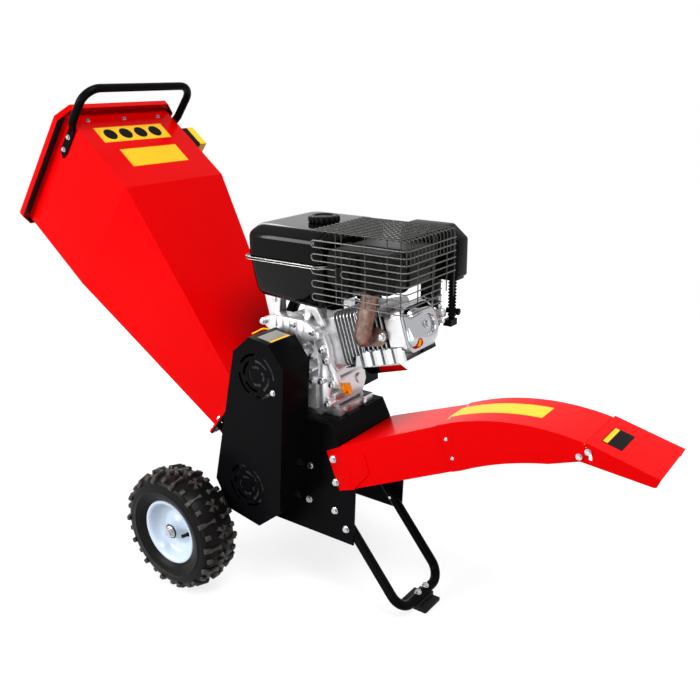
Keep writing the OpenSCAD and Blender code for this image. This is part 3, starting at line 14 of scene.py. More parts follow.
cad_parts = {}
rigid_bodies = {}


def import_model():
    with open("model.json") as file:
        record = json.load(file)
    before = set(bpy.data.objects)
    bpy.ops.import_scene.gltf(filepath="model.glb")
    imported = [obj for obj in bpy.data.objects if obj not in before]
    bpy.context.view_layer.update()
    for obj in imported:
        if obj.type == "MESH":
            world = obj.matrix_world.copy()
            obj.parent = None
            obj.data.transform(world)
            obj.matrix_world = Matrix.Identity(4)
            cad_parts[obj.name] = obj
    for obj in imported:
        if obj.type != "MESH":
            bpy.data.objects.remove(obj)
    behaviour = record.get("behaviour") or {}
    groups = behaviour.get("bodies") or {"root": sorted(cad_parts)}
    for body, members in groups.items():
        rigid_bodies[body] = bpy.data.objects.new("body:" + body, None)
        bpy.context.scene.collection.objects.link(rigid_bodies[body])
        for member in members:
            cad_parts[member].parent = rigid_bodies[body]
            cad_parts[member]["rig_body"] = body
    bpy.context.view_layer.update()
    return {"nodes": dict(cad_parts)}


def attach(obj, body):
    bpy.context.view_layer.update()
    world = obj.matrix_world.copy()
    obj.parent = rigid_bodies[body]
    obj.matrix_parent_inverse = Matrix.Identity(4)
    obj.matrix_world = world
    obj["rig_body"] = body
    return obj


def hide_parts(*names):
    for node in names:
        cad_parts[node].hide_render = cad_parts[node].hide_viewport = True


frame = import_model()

LOG = logging.getLogger("shredder")
MACHINE = "machine"

Point = Sequence[float]
Pair = tuple[float, float]
Triple = tuple[float, float, float]
Quad = tuple[float, float, float, float]
Block = tuple[Triple, Triple]

# The frame's origin lies this far ahead of the axle, in millimetres.
MID = 229.178
# The crank axis, ahead of the axle and over the ground.
CRANK_X, CRANK_Z = 238.0, 618.0
# The cylinder's lean in degrees, and its middle beside and over the crank axis.
LEAN, BORE_Y, BORE_RISE = 16.5, 2.0, 33.0
# The hopper's slope in degrees, and its throat ahead of the axle and over the ground.
SLOPE, THROAT_X, THROAT_Z = 38.75, -9.0, 388.0
# The end of the chute's hood, ahead of the axle and over the ground.
HOOD_END = (997.842, 0.0, 593.86)
# Edges sharper than these angles are rounded, in degrees.
SHEET_FOLD = 6.0
CAST_EDGE = 31.0
BEVEL_ANGLE = 28.0
# Points of a new mesh and of a CAD node are merged within these distances, in metres.
MERGE_NEW, MERGE_CAD = 1e-6, 2e-6
# Faces of a CAD node that meet at less than this angle count as flat, in degrees.
FLAT = 0.5

UP, AHEAD, LEFTWARD, RIGHTWARD = (0, 0, 1), (1, 0, 0), (0, 1, 0), (0, -1, 0)


def at(x: float, y: float, z: float) -> Vector:
    """Turns millimetres from the axle's foot into the frame's metres.

    Args:
        x: distance ahead of the axle.
        y: distance to the left of the middle plane.
        z: height over the ground.

    Returns:
        The point in the frame.
    """
    return Vector(((x - MID) / 1000.0, y / 1000.0, z / 1000.0))


def en(x: float, y: float, z: float) -> Vector:
    """Turns millimetres from the crank axis into the frame's metres.

    Args:
        x: distance ahead of the crank axis.
        y: distance to the left of the middle plane.
        z: height over the crank axis.

    Returns:
        The point in the frame.
    """
    return at(x + CRANK_X, y, z + CRANK_Z)


def cyl(a: float, y: float, b: float) -> Vector:
    """Turns millimetres along the leaning cylinder into the frame's metres.

    Args:
        a: distance from the crank axis along the cylinder.
        y: distance to the left of the cylinder's middle.
        b: height square to the cylinder.

    Returns:
        The point in the frame.
    """
    lean, rise = math.radians(LEAN), b + BORE_RISE
    x = a * math.cos(lean) - rise * math.sin(lean)
    return en(x, y + BORE_Y, a * math.sin(lean) + rise * math.cos(lean))


def hop(a: float, y: float, b: float) -> Vector:
    """Turns millimetres along the sloping hopper into the frame's metres.

    Args:
        a: distance down the floor from the throat.
        y: distance to the left of the middle plane.
        b: height square to the floor.

    Returns:
        The point in the frame.
    """
    slope = math.radians(SLOPE)
    x = THROAT_X + a * math.cos(slope) + b * math.sin(slope)
    return at(x, y, THROAT_Z - a * math.sin(slope) + b * math.cos(slope))


def sheet_axes(rise: float) -> tuple[Vector, Vector]:
    """Finds the directions of a sloping sheet.

    Args:
        rise: its angle over the ground, in degrees.

    Returns:
        The directions along the sheet and square to it.
    """
    t = math.radians(rise)
    return Vector((math.cos(t), 0, math.sin(t))), Vector((-math.sin(t), 0, math.cos(t)))


def corners(low: float, high: float, near: float, far: float) -> tuple[Pair, ...]:
    """Lists the corners of a rectangle, in order.

    Args:
        low: its start along the first axis.
        high: its end along the first axis.
        near: its start along the second axis.
        far: its end along the second axis.

    Returns:
        The four corners.
    """
    return (low, near), (high, near), (high, far), (low, far)


class Side(Enum):
    """A side of the machine, with the sign of its y."""

    RIGHT = -1
    LEFT = 1


class Look(Enum):
    """Every surface of the machine."""

    RED = "red_paint"
    BLACK = "black_paint"
    TANK = "tank_paint"
    ZINC = "zinc"
    STEEL = "machined_steel"
    IRON = "dark_iron"
    CAST = "engine_aluminium"
    FIN = "fin_aluminium"
    CHROME = "chrome_sheet"
    HOT = "hot_steel"
    MUFFLER = "muffler_black"
    TYRE = "tyre_rubber"
    LUG = "lug_rubber"
    RIM = "rim_white"
    RUBBER = "rubber"
    PLASTIC = "black_plastic"
    YELLOW = "yellow_plastic"
    STOP = "red_plastic"
    ORANGE = "orange_plastic"
    PLATED = "grey_metal"
    PLATE = "blank_plate"
    # The guard's one wire in two tones: lighter on the near rows as painted highlight, darker on the top grid
    # as painted shade.
    WIRE = "guard_wire"
    DARK_WIRE = "dark_wire"
    # Pale metal on the tank seam's edges: painted highlight.
    SEAM = "seam_metal"
    GREY_PLATE = "grey_plate"


@dataclass(frozen=True)
class Finish:
    """How one surface takes light.

    Attributes:
        base: linear base colour.
        roughness: mean roughness.
        metallic: share of metal.
        coat: weight of a clear coat.
        mottle: strength of the broad tone change.
        mottle_size: size of the broad tone change, in metres.
        grain: strength of the fine roughness change.
        grain_size: size of the fine roughness change, in metres.
        height: height of the fine relief, in metres.
        dust: share of pale dust on faces that look up.
        specular: level of the mirror reflection of a non-metal.
    """

    base: Triple
    roughness: float
    metallic: float = 0.0
    coat: float = 0.0
    mottle: float = 0.08
    mottle_size: float = 0.12
    grain: float = 0.06
    grain_size: float = 0.004
    height: float = 0.0
    dust: float = 0.0
    specular: float = 0.5


FINISHES: dict[Look, Finish] = {
    Look.RED: Finish((0.70, 0.0003, 0.0010), 0.24, specular=0.032, mottle=0.04, mottle_size=0.3,
                     height=0.00002),
    Look.BLACK: Finish((0.0028, 0.0026, 0.0032), 0.24, specular=0.022, mottle=0.12, grain=0.04,
                       height=0.00002, dust=0.004),
    Look.TANK: Finish((0.0020, 0.0020, 0.0024), 0.07, specular=0.10, coat=0.03, mottle=0.1, mottle_size=0.2,
                      grain=0.02),
    Look.ZINC: Finish((0.54, 0.55, 0.57), 0.24, metallic=1.0, mottle=0.12, mottle_size=0.01),
    Look.STEEL: Finish((0.52, 0.53, 0.55), 0.30, metallic=1.0),
    Look.IRON: Finish((0.12, 0.12, 0.125), 0.55, metallic=0.7, height=0.0001),
    Look.CAST: Finish((0.66, 0.66, 0.675), 0.31, metallic=0.7, mottle=0.12, mottle_size=0.03, grain=0.03,
                      height=0.00002),
    Look.FIN: Finish((0.52, 0.52, 0.53), 0.34, metallic=0.75, mottle=0.15, mottle_size=0.03, grain=0.04,
                     height=0.00003),
    Look.CHROME: Finish((0.43, 0.44, 0.46), 0.05, metallic=1.0, mottle=0.05, grain=0.02),
    Look.HOT: Finish((0.20, 0.128, 0.107), 0.36, metallic=0.85, mottle=0.85, mottle_size=0.012, grain=0.15,
                     height=0.0001),
    Look.MUFFLER: Finish((0.0035, 0.0035, 0.004), 0.30, specular=0.08, mottle=0.2),
    Look.TYRE: Finish((0.0040, 0.0040, 0.0045), 0.36, specular=0.07, mottle=0.25, mottle_size=0.03,
                      height=0.0001, dust=0.001),
    Look.LUG: Finish((0.022, 0.018, 0.016), 0.46, specular=0.3, mottle=0.8, mottle_size=0.014, height=0.0003,
                     dust=0.02),
    Look.RIM: Finish((0.56, 0.65, 0.77), 0.28, specular=0.35, coat=0.2, mottle=0.04),
    Look.RUBBER: Finish((0.005, 0.005, 0.005), 0.6, specular=0.12, mottle=0.2, height=0.0002),
    Look.PLASTIC: Finish((0.0030, 0.0030, 0.0034), 0.32, specular=0.035, mottle=0.15, height=0.00006),
    Look.YELLOW: Finish((0.95, 0.60, 0.004), 0.35, specular=0.25),
    Look.STOP: Finish((0.55, 0.006, 0.01), 0.3, coat=0.3),
    Look.ORANGE: Finish((0.90, 0.27, 0.004), 0.36, specular=0.4),
    Look.PLATED: Finish((0.42, 0.42, 0.44), 0.35, metallic=1.0),
    Look.PLATE: Finish((0.95, 0.52, 0.010), 0.34, specular=0.1, mottle=0.05),
    # Painted highlight and painted shade: the same guard wire, lighter for the near rows and darker for the
    # top grid.
    Look.WIRE: Finish((0.11, 0.107, 0.098), 0.30, metallic=0.4, specular=0.3, coat=0.08, mottle=0.2,
                      mottle_size=0.05),
    Look.DARK_WIRE: Finish((0.035, 0.035, 0.032), 0.24, metallic=0.5, specular=0.4, mottle=0.2,
                           mottle_size=0.05),
    # Painted highlight: pale rings on the tank seam's edges.
    Look.SEAM: Finish((0.42, 0.42, 0.39), 0.3, metallic=0.5, mottle=0.1),
    Look.GREY_PLATE: Finish((0.22, 0.22, 0.20), 0.45, mottle=0.1),
}

# The CAD nodes that show, by look. The classes below make the others anew.
NODE_LOOKS: dict[Look, tuple[str, ...]] = {
    Look.RED: ("hopper", "hopper_mouth", "chute_base", "chute_hood", "deflector"),
    Look.BLACK: ("side_plate_right", "side_plate_left", "rotor_casing", "engine_platform", "belt_cover",
                 "leg_tube", "hopper_handle", "curtain_strip"),
    Look.ZINC: ("axle", "axle_nuts", "chassis_bolts", "hopper_bolts", "chute_rivets", "deflector_bolts",
                "engine_bolts"),
    Look.STEEL: ("rotor_shaft", "rotor_knives", "anvil_knife", "crankshaft"),
    Look.IRON: ("rotor_bearings", "rotor_drum", "driven_pulley", "drive_pulley", "flywheel"),
    Look.CAST: ("crankcase", "side_cover", "carburettor", "cylinder_head"),
    Look.FIN: ("cylinder_barrel",),
    Look.CHROME: ("cylinder_shroud",),
    Look.MUFFLER: ("muffler",),
    Look.RUBBER: ("feed_curtain", "drive_belts"),
    Look.PLASTIC: ("stop_switch_base", "recoil_housing", "starter_grip", "throttle_lever"),
    Look.YELLOW: ("stop_switch_cover",),
    Look.STOP: ("stop_button", "engine_switch"),
    Look.ORANGE: ("oil_filler_cap",),
    Look.PLATED: ("choke_lever", "fuel_valve_lever"),
}

# Rounding of the edges of the nodes that show as softened copies, in millimetres.
SOFT_EDGES: dict[str, float] = {
    "side_plate_right": 0.9, "side_plate_left": 0.9, "rotor_casing": 0.8, "engine_platform": 1.4,
    "belt_cover": 0.9, "hopper": 0.7, "hopper_mouth": 0.7, "chute_base": 0.7, "deflector": 0.7,
    "stop_switch_base": 2.5, "stop_switch_cover": 3.0, "stop_button": 1.5, "crankcase": 3.0,
    "side_cover": 2.0, "cylinder_barrel": 0.8, "cylinder_head": 0.9, "carburettor": 2.0,
    "recoil_housing": 1.6, "starter_grip": 2.0, "oil_filler_cap": 1.2, "throttle_lever": 0.7,
    "choke_lever": 0.7, "fuel_valve_lever": 0.7, "engine_switch": 0.8, "muffler": 1.4, "cylinder_shroud": 0.6,
    "curtain_strip": 0.8, "feed_curtain": 0.8,
}


def calc(tree: bpy.types.NodeTree, kind: str, *values: bpy.types.NodeSocket | float) -> bpy.types.NodeSocket:
    """Adds a math node to a shader tree.

    Args:
        tree: the node tree.
        kind: the node's operation.
        values: its inputs, each a number or a socket to link.

    Returns:
        The node's result.
    """
    node = tree.nodes.new("ShaderNodeMath")
    node.operation = kind
    for socket, value in zip(node.inputs, values):
        if isinstance(value, (int, float)):
            socket.default_value = value
        else:
            tree.links.new(value, socket)
    return node.outputs[0]


class MaterialLibrary:
    """Makes one procedural material for each look, on a shared weathering node group."""

    INPUTS = (("Vector", "NodeSocketVector"), ("Base", "NodeSocketColor"), ("Mottle", "NodeSocketFloat"),
              ("Mottle Scale", "NodeSocketFloat"), ("Roughness", "NodeSocketFloat"),
              ("Grain", "NodeSocketFloat"), ("Grain Scale", "NodeSocketFloat"), ("Dust", "NodeSocketFloat"))
    OUTPUTS = (("Color", "NodeSocketColor"), ("Roughness", "NodeSocketFloat"), ("Relief", "NodeSocketFloat"))
    DUST_TONE = (0.30, 0.26, 0.21, 1.0)
    BROAD_DETAIL, FINE_DETAIL = 4.0, 3.0
    NOISE_MEAN, MOTTLE_GAIN, DUST_GAIN = 0.5, 2.4, 1.6
    COAT_ROUGHNESS = 0.06

    def __init__(self) -> None:
        """Builds the shared group and starts with no materials."""
        self.group = self._weathering()
        self.made: dict[Look, bpy.types.Material] = {}

    def _weathering(self) -> bpy.types.NodeTree:
        """Builds the group that turns a plain tone into a slightly uneven, dusty one.

        Returns:
            The shader node group, with colour, roughness and relief outputs.
        """
        tree = bpy.data.node_groups.new("weathering", "ShaderNodeTree")
        for way, sockets in (("INPUT", self.INPUTS), ("OUTPUT", self.OUTPUTS)):
            for name, kind in sockets:
                tree.interface.new_socket(name=name, in_out=way, socket_type=kind)
        nodes, links = tree.nodes, tree.links
        into, out = nodes.new("NodeGroupInput"), nodes.new("NodeGroupOutput")
        broad, fine = nodes.new("ShaderNodeTexNoise"), nodes.new("ShaderNodeTexNoise")
        broad.inputs["Detail"].default_value = self.BROAD_DETAIL
        fine.inputs["Detail"].default_value = self.FINE_DETAIL
        for noise, scale in ((broad, "Mottle Scale"), (fine, "Grain Scale")):
            links.new(into.outputs["Vector"], noise.inputs["Vector"])
            links.new(into.outputs[scale], noise.inputs["Scale"])
        swing = calc(tree, "MULTIPLY", calc(tree, "SUBTRACT", broad.outputs["Fac"], self.NOISE_MEAN),
                     self.MOTTLE_GAIN)
        swing = calc(tree, "MULTIPLY", swing, into.outputs["Mottle"])
        tone = nodes.new("ShaderNodeVectorMath")
        tone.operation = "SCALE"
        links.new(into.outputs["Base"], tone.inputs[0])
        links.new(calc(tree, "ADD", 1.0, swing), tone.inputs["Scale"])
        place, split = nodes.new("ShaderNodeNewGeometry"), nodes.new("ShaderNodeSeparateXYZ")
        links.new(place.outputs["Normal"], split.inputs[0])
        upward = calc(tree, "MAXIMUM", split.outputs["Z"], 0.0)
        veil = calc(tree, "MULTIPLY", calc(tree, "MULTIPLY", upward, into.outputs["Dust"]),
                    calc(tree, "MULTIPLY", broad.outputs["Fac"], self.DUST_GAIN))
        mix = nodes.new("ShaderNodeMix")
        mix.data_type = "RGBA"
        mix.inputs["B"].default_value = self.DUST_TONE
        links.new(veil, mix.inputs["Factor"])
        links.new(tone.outputs[0], mix.inputs["A"])
        grain = calc(tree, "MULTIPLY", calc(tree, "SUBTRACT", fine.outputs["Fac"], self.NOISE_MEAN),
                     into.outputs["Grain"])
        links.new(mix.outputs["Result"], out.inputs["Color"])
        links.new(calc(tree, "ADD", into.outputs["Roughness"], grain), out.inputs["Roughness"])
        links.new(fine.outputs["Fac"], out.inputs["Relief"])
        return tree

    def get(self, look: Look) -> bpy.types.Material:
        """Finds the material of a look, which is made on first use.

        Args:
            look: the surface.

        Returns:
            Its Blender material.
        """
        if look not in self.made:
            self.made[look] = self._make(look, FINISHES[look])
        return self.made[look]

    def _make(self, look: Look, finish: Finish) -> bpy.types.Material:
        """Makes the material of a look.

        Args:
            look: the surface, which names the material.
            finish: how it takes light.

        Returns:
            The new material.
        """
        material = bpy.data.materials.new(look.value)
        material.use_nodes = True
        nodes, links = material.node_tree.nodes, material.node_tree.links
        shader, coords = nodes["Principled BSDF"], nodes.new("ShaderNodeTexCoord")
        group = nodes.new("ShaderNodeGroup")
        group.node_tree = self.group
        links.new(coords.outputs["Object"], group.inputs["Vector"])
        for name, value in (
                ("Base", (*finish.base, 1.0)), ("Mottle", finish.mottle),
                ("Mottle Scale", 1.0 / finish.mottle_size), ("Roughness", finish.roughness),
                ("Grain", finish.grain), ("Grain Scale", 1.0 / finish.grain_size), ("Dust", finish.dust)):
            group.inputs[name].default_value = value
        links.new(group.outputs["Color"], shader.inputs["Base Color"])
        links.new(group.outputs["Roughness"], shader.inputs["Roughness"])
        for name, value in (("Metallic", finish.metallic), ("Specular IOR Level", finish.specular),
                            ("Coat Weight", finish.coat), ("Coat Roughness", self.COAT_ROUGHNESS)):
            shader.inputs[name].default_value = value
        if finish.height:
            bump = nodes.new("ShaderNodeBump")
            bump.inputs["Strength"].default_value = 1.0
            bump.inputs["Distance"].default_value = finish.height
            links.new(group.outputs["Relief"], bump.inputs["Height"])
            links.new(bump.outputs["Normal"], shader.inputs["Normal"])
        return material


def rounded(width: float, height: float, radius: float, steps: int = 8) -> list[Pair]:
    """Outlines a rectangle with round corners.

    Args:
        width: size along the first axis.
        height: size along the second axis.
        radius: radius of the corners.
        steps: points in each corner, less one.

    Returns:
        The outline's points, in order.
    """
    points = []
    for k, (sx, sy) in enumerate(((1, 1), (-1, 1), (-1, -1), (1, -1))):
        for i in range(steps + 1):
            t = math.radians(90 * k + 90 * i / steps)
            points.append((sx * (width / 2 - radius) + radius * math.cos(t),
                           sy * (height / 2 - radius) + radius * math.sin(t)))
    return points


def fillet(path: Sequence[Vector], radius: float, steps: int = 5) -> list[Vector]:
    """Rounds the inner corners of a path.

    Args:
        path: corner points, in metres.
        radius: length that each corner loses on both sides, in metres.
        steps: points in each corner, less one.

    Returns:
        The rounded path.
    """
    most = 0.49
    out = [path[0].copy()]
    for before, corner, after in zip(path, path[1:], path[2:]):
        reach = min(radius, (before - corner).length * most, (after - corner).length * most)
        p = corner + (before - corner).normalized() * reach
        q = corner + (after - corner).normalized() * reach
        for i in range(steps + 1):
            t = i / steps
            out.append(p * (1 - t) ** 2 + corner * 2 * t * (1 - t) + q * t ** 2)
    out.append(path[-1].copy())
    return out


class Shape:
    """Gathers the points and faces of one mesh, in metres."""

    def __init__(self) -> None:
        """Starts an empty shape."""
        self.points: list[Vector] = []
        self.faces: list[tuple[int, ...]] = []
        self.tags: list[int] = []

    def add(self, points: Iterable[Point], faces: Iterable[Sequence[int]], tag: int = 0) -> "Shape":
        """Adds loose points and faces.

        Args:
            points: the new points.
            faces: faces as numbers of the new points.
            tag: material number of the faces.

        Returns:
            This shape.
        """
        base = len(self.points)
        self.points += [Vector(p) for p in points]
        for face in faces:
            self.faces.append(tuple(base + i for i in face))
            self.tags.append(tag)
        return self

    def rings(self, rings: Sequence[Sequence[Point]], tag: int = 0, loop: bool = False) -> "Shape":
        """Skins a row of rings that have equal numbers of points.

        Args:
            rings: the rings, in order.
            tag: material number of the faces.
            loop: whether the last ring joins the first, instead of both being capped.

        Returns:
            This shape.
        """
        count, total = len(rings[0]), len(rings)
        faces: list[tuple[int, ...]] = []
        for i in range(total if loop else total - 1):
            a, b = i * count, ((i + 1) % total) * count
            faces += [(a + j, a + (j + 1) % count, b + (j + 1) % count, b + j) for j in range(count)]
        if not loop:
            faces += [tuple(reversed(range(count))), tuple((total - 1) * count + j for j in range(count))]
        return self.add([p for ring in rings for p in ring], faces, tag)

    def prism(self, outline: Sequence[Point], shift: Point, tag: int = 0) -> "Shape":
        """Adds a flat outline pulled along a straight line.

        Args:
            outline: the outline's points.
            shift: how far it is pulled.
            tag: material number of the faces.

        Returns:
            This shape.
        """
        return self.rings([[Vector(p) for p in outline], [Vector(p) + Vector(shift) for p in outline]], tag)

    def box(self, low: Vector, high: Vector) -> "Shape":
        """Adds an upright box between two corners."""
        outline = [(x, y, low.z) for x, y in corners(low.x, high.x, low.y, high.y)]
        return self.prism(outline, (0, 0, high.z - low.z))

    def revolve(self, profile: Sequence[Pair], centre: Vector, axis: Point, steps: int = 48,
                loop: bool = False) -> "Shape":
        """Turns a profile about an axis.

        Args:
            profile: pairs of radius and distance along the axis, in millimetres.
            centre: the axis's origin.
            axis: its direction.
            steps: parts of a turn.
            loop: whether the profile is closed.

        Returns:
            This shape.
        """
        along = Vector(axis).normalized()
        u = along.orthogonal().normalized()
        v = along.cross(u)
        turns = [(math.cos(2 * math.pi * k / steps), math.sin(2 * math.pi * k / steps)) for k in range(steps)]
        rings = [[centre + along * (h / 1000) + (u * c + v * s) * (r / 1000) for c, s in turns]
                 for r, h in profile]
        return self.rings(rings, loop=loop)

    def tube(self, path: Sequence[Vector], radius: float, sides: int = 8, loop: bool = False) -> "Shape":
        """Sweeps a round section along a path.

        Args:
            path: the path's points.
            radius: radius of the section, in millimetres.
            sides: points round the section.
            loop: whether the path is closed.

        Returns:
            This shape.
        """
        count = len(path)
        heads = []
        for i, p in enumerate(path):
            before = path[(i - 1) % count] if loop or i else p
            after = path[(i + 1) % count] if loop or i < count - 1 else p
            heads.append((after - before).normalized())
        turns = [2 * math.pi * k / sides for k in range(sides)]
        side = heads[0].orthogonal().normalized()
        rings = []
        for p, head in zip(path, heads):
            side = (side - head * side.dot(head)).normalized()
            up = head.cross(side)
            rings.append([p + (side * math.cos(t) + up * math.sin(t)) * (radius / 1000) for t in turns])
        return self.rings(rings, loop=loop)

    def mesh(self, name: str, bevel: float = 0.0, segments: int = 2) -> bpy.types.Mesh:
        """Makes the mesh.

        Args:
            name: its name.
            bevel: width of the rounding of its sharp edges, in millimetres.
            segments: steps of the rounding.

        Returns:
            The mesh, with its faces turned outwards.
        """
        mesh = bpy.data.meshes.new(name)
        mesh.from_pydata(self.points, [], self.faces)
        for polygon, tag in zip(mesh.polygons, self.tags):
            polygon.material_index = tag
        work = bmesh.new()
        work.from_mesh(mesh)
        bmesh.ops.remove_doubles(work, verts=work.verts, dist=MERGE_NEW)
        bmesh.ops.recalc_face_normals(work, faces=work.faces)
        if bevel:
            limit = math.radians(BEVEL_ANGLE)
            edges = [e for e in work.edges if len(e.link_faces) == 2 and e.calc_face_angle() > limit]
            bmesh.ops.bevel(work, geom=edges, offset=bevel / 1000, offset_type="OFFSET", segments=segments,
                            profile=0.5, affect="EDGES", clamp_overlap=True, material=-1)
        work.to_mesh(mesh)
        work.free()
        return mesh


@dataclass(frozen=True)
class Turned:
    """A turned detail of the engine, in millimetres from the crank axis.

    Attributes:
        profile: pairs of radius and distance along the axis.
        place: the axis's origin.
        axis: its direction.
        steps: parts of a turn.
    """

    profile: tuple[Pair, ...]
    place: Triple
    axis: Triple = UP
    steps: int = 24

    def add_to(self, shape: Shape, loop: bool = False) -> None:
        """Adds the detail to a shape, with a closed profile if loop is true."""
        shape.revolve(self.profile, en(*self.place), self.axis, self.steps, loop)


@dataclass(frozen=True)
class Plate:
    """An upright plate of the engine, in millimetres from the crank axis.

    Attributes:
        outline: pairs of x and z of its side view.
        near: y of its near face.
        far: y of its far face.
    """

    outline: tuple[Pair, ...]
    near: float
    far: float

    def add_to(self, shape: Shape, drop: float = 0.0) -> None:
        """Adds the plate to a shape, lowered by drop millimetres."""
        depth = (0, (self.far - self.near) / 1000, 0)
        shape.prism([en(x, self.near, z - drop) for x, z in self.outline], depth)


def hex_unit(radius: float, height: float) -> Shape:
    """Makes a flanged hexagon head on its own origin, with Z as its axis.

    Args:
        radius: radius over the corners, in millimetres.
        height: height of the head, in millimetres.

    Returns:
        The head.
    """
    flange, foot = radius * 1.35, 1.4
    turns = [math.radians(60 * k) for k in range(6)]
    unit = Shape().rings([[Vector((radius * math.cos(t), radius * math.sin(t), z)) / 1000 for t in turns]
                          for z in (foot, height)])
    return unit.revolve([(flange, 0), (flange, 1.1), (flange - 0.6, 1.6)], Vector((0, 0, 0)), UP, steps=24)


def frame_of(place: Vector, up: Point, ahead: Point = AHEAD) -> Matrix:
    """Places a unit whose own Z points up and whose own X points roughly ahead.

    Args:
        place: the unit's origin.
        up: direction of its Z axis.
        ahead: rough direction of its X axis.

    Returns:
        The placing matrix.
    """
    z = Vector(up).normalized()
    x = Vector(ahead) - z * Vector(ahead).dot(z)
    x = x.normalized() if x.length > 1e-4 else z.orthogonal().normalized()
    return Matrix.Translation(place) @ Matrix((x, z.cross(x), z)).transposed().to_4x4()


class Repeater:
    """Repeats one mesh at many places with Geometry Nodes."""

    INPUTS = (("Geometry", "NodeSocketGeometry"), ("Unit", "NodeSocketObject"),
              ("Material", "NodeSocketMaterial"))

    def __init__(self) -> None:
        """Builds the node tree."""
        tree = bpy.data.node_groups.new("repeat", "GeometryNodeTree")
        for name, kind in self.INPUTS:
            tree.interface.new_socket(name=name, in_out="INPUT", socket_type=kind)
        tree.interface.new_socket(name="Geometry", in_out="OUTPUT", socket_type="NodeSocketGeometry")
        nodes, links = tree.nodes, tree.links
        into, out = nodes.new("NodeGroupInput"), nodes.new("NodeGroupOutput")
        unit, turn = nodes.new("GeometryNodeObjectInfo"), nodes.new("GeometryNodeInputNamedAttribute")
        turn.data_type = "FLOAT_VECTOR"
        turn.inputs["Name"].default_value = "turn"
        euler, spread = nodes.new("FunctionNodeEulerToRotation"), nodes.new("GeometryNodeInstanceOnPoints")
        real, paint = nodes.new("GeometryNodeRealizeInstances"), nodes.new("GeometryNodeSetMaterial")
        links.new(into.outputs["Unit"], unit.inputs["Object"])
        links.new(turn.outputs["Attribute"], euler.inputs["Euler"])
        links.new(into.outputs["Geometry"], spread.inputs["Points"])
        links.new(unit.outputs["Geometry"], spread.inputs["Instance"])
        links.new(euler.outputs["Rotation"], spread.inputs["Rotation"])
        links.new(spread.outputs["Instances"], real.inputs["Geometry"])
        links.new(real.outputs["Geometry"], paint.inputs["Geometry"])
        links.new(into.outputs["Material"], paint.inputs["Material"])
        links.new(paint.outputs["Geometry"], out.inputs["Geometry"])
        self.tree = tree
        self.keys = {i.name: i.identifier for i in tree.interface.items_tree if i.in_out == "INPUT"}

    def spread(self, name: str, unit: bpy.types.Mesh, places: Sequence[Matrix],
               paint: bpy.types.Material) -> bpy.types.Mesh:
        """Repeats a unit.

        Args:
            name: name of the new mesh.
            unit: the mesh to repeat, about its own origin.
            places: where each copy goes, without scale.
            paint: material of the copies.

        Returns:
            One mesh with all copies.
        """
        cloud = bpy.data.meshes.new(name + "_places")
        cloud.from_pydata([p.to_translation() for p in places], [], [])
        turns = cloud.attributes.new("turn", "FLOAT_VECTOR", "POINT")
        for item, place in zip(turns.data, places):
            item.vector = place.to_euler("XYZ")
        home = bpy.context.scene.collection
        source = bpy.data.objects.new(name + "_unit", unit)
        holder = bpy.data.objects.new(name + "_holder", cloud)
        home.objects.link(source)
        home.objects.link(holder)
        modifier = holder.modifiers.new("repeat", "NODES")
        modifier.node_group = self.tree
        modifier[self.keys["Unit"]] = source
        modifier[self.keys["Material"]] = paint
        graph = bpy.context.evaluated_depsgraph_get()
        mesh = bpy.data.meshes.new_from_object(holder.evaluated_get(graph), depsgraph=graph)
        holder.modifiers.remove(modifier)
        for helper in (holder, source):
            bpy.data.objects.remove(helper)
        bpy.data.meshes.remove(cloud)
        mesh.name = name
        return mesh


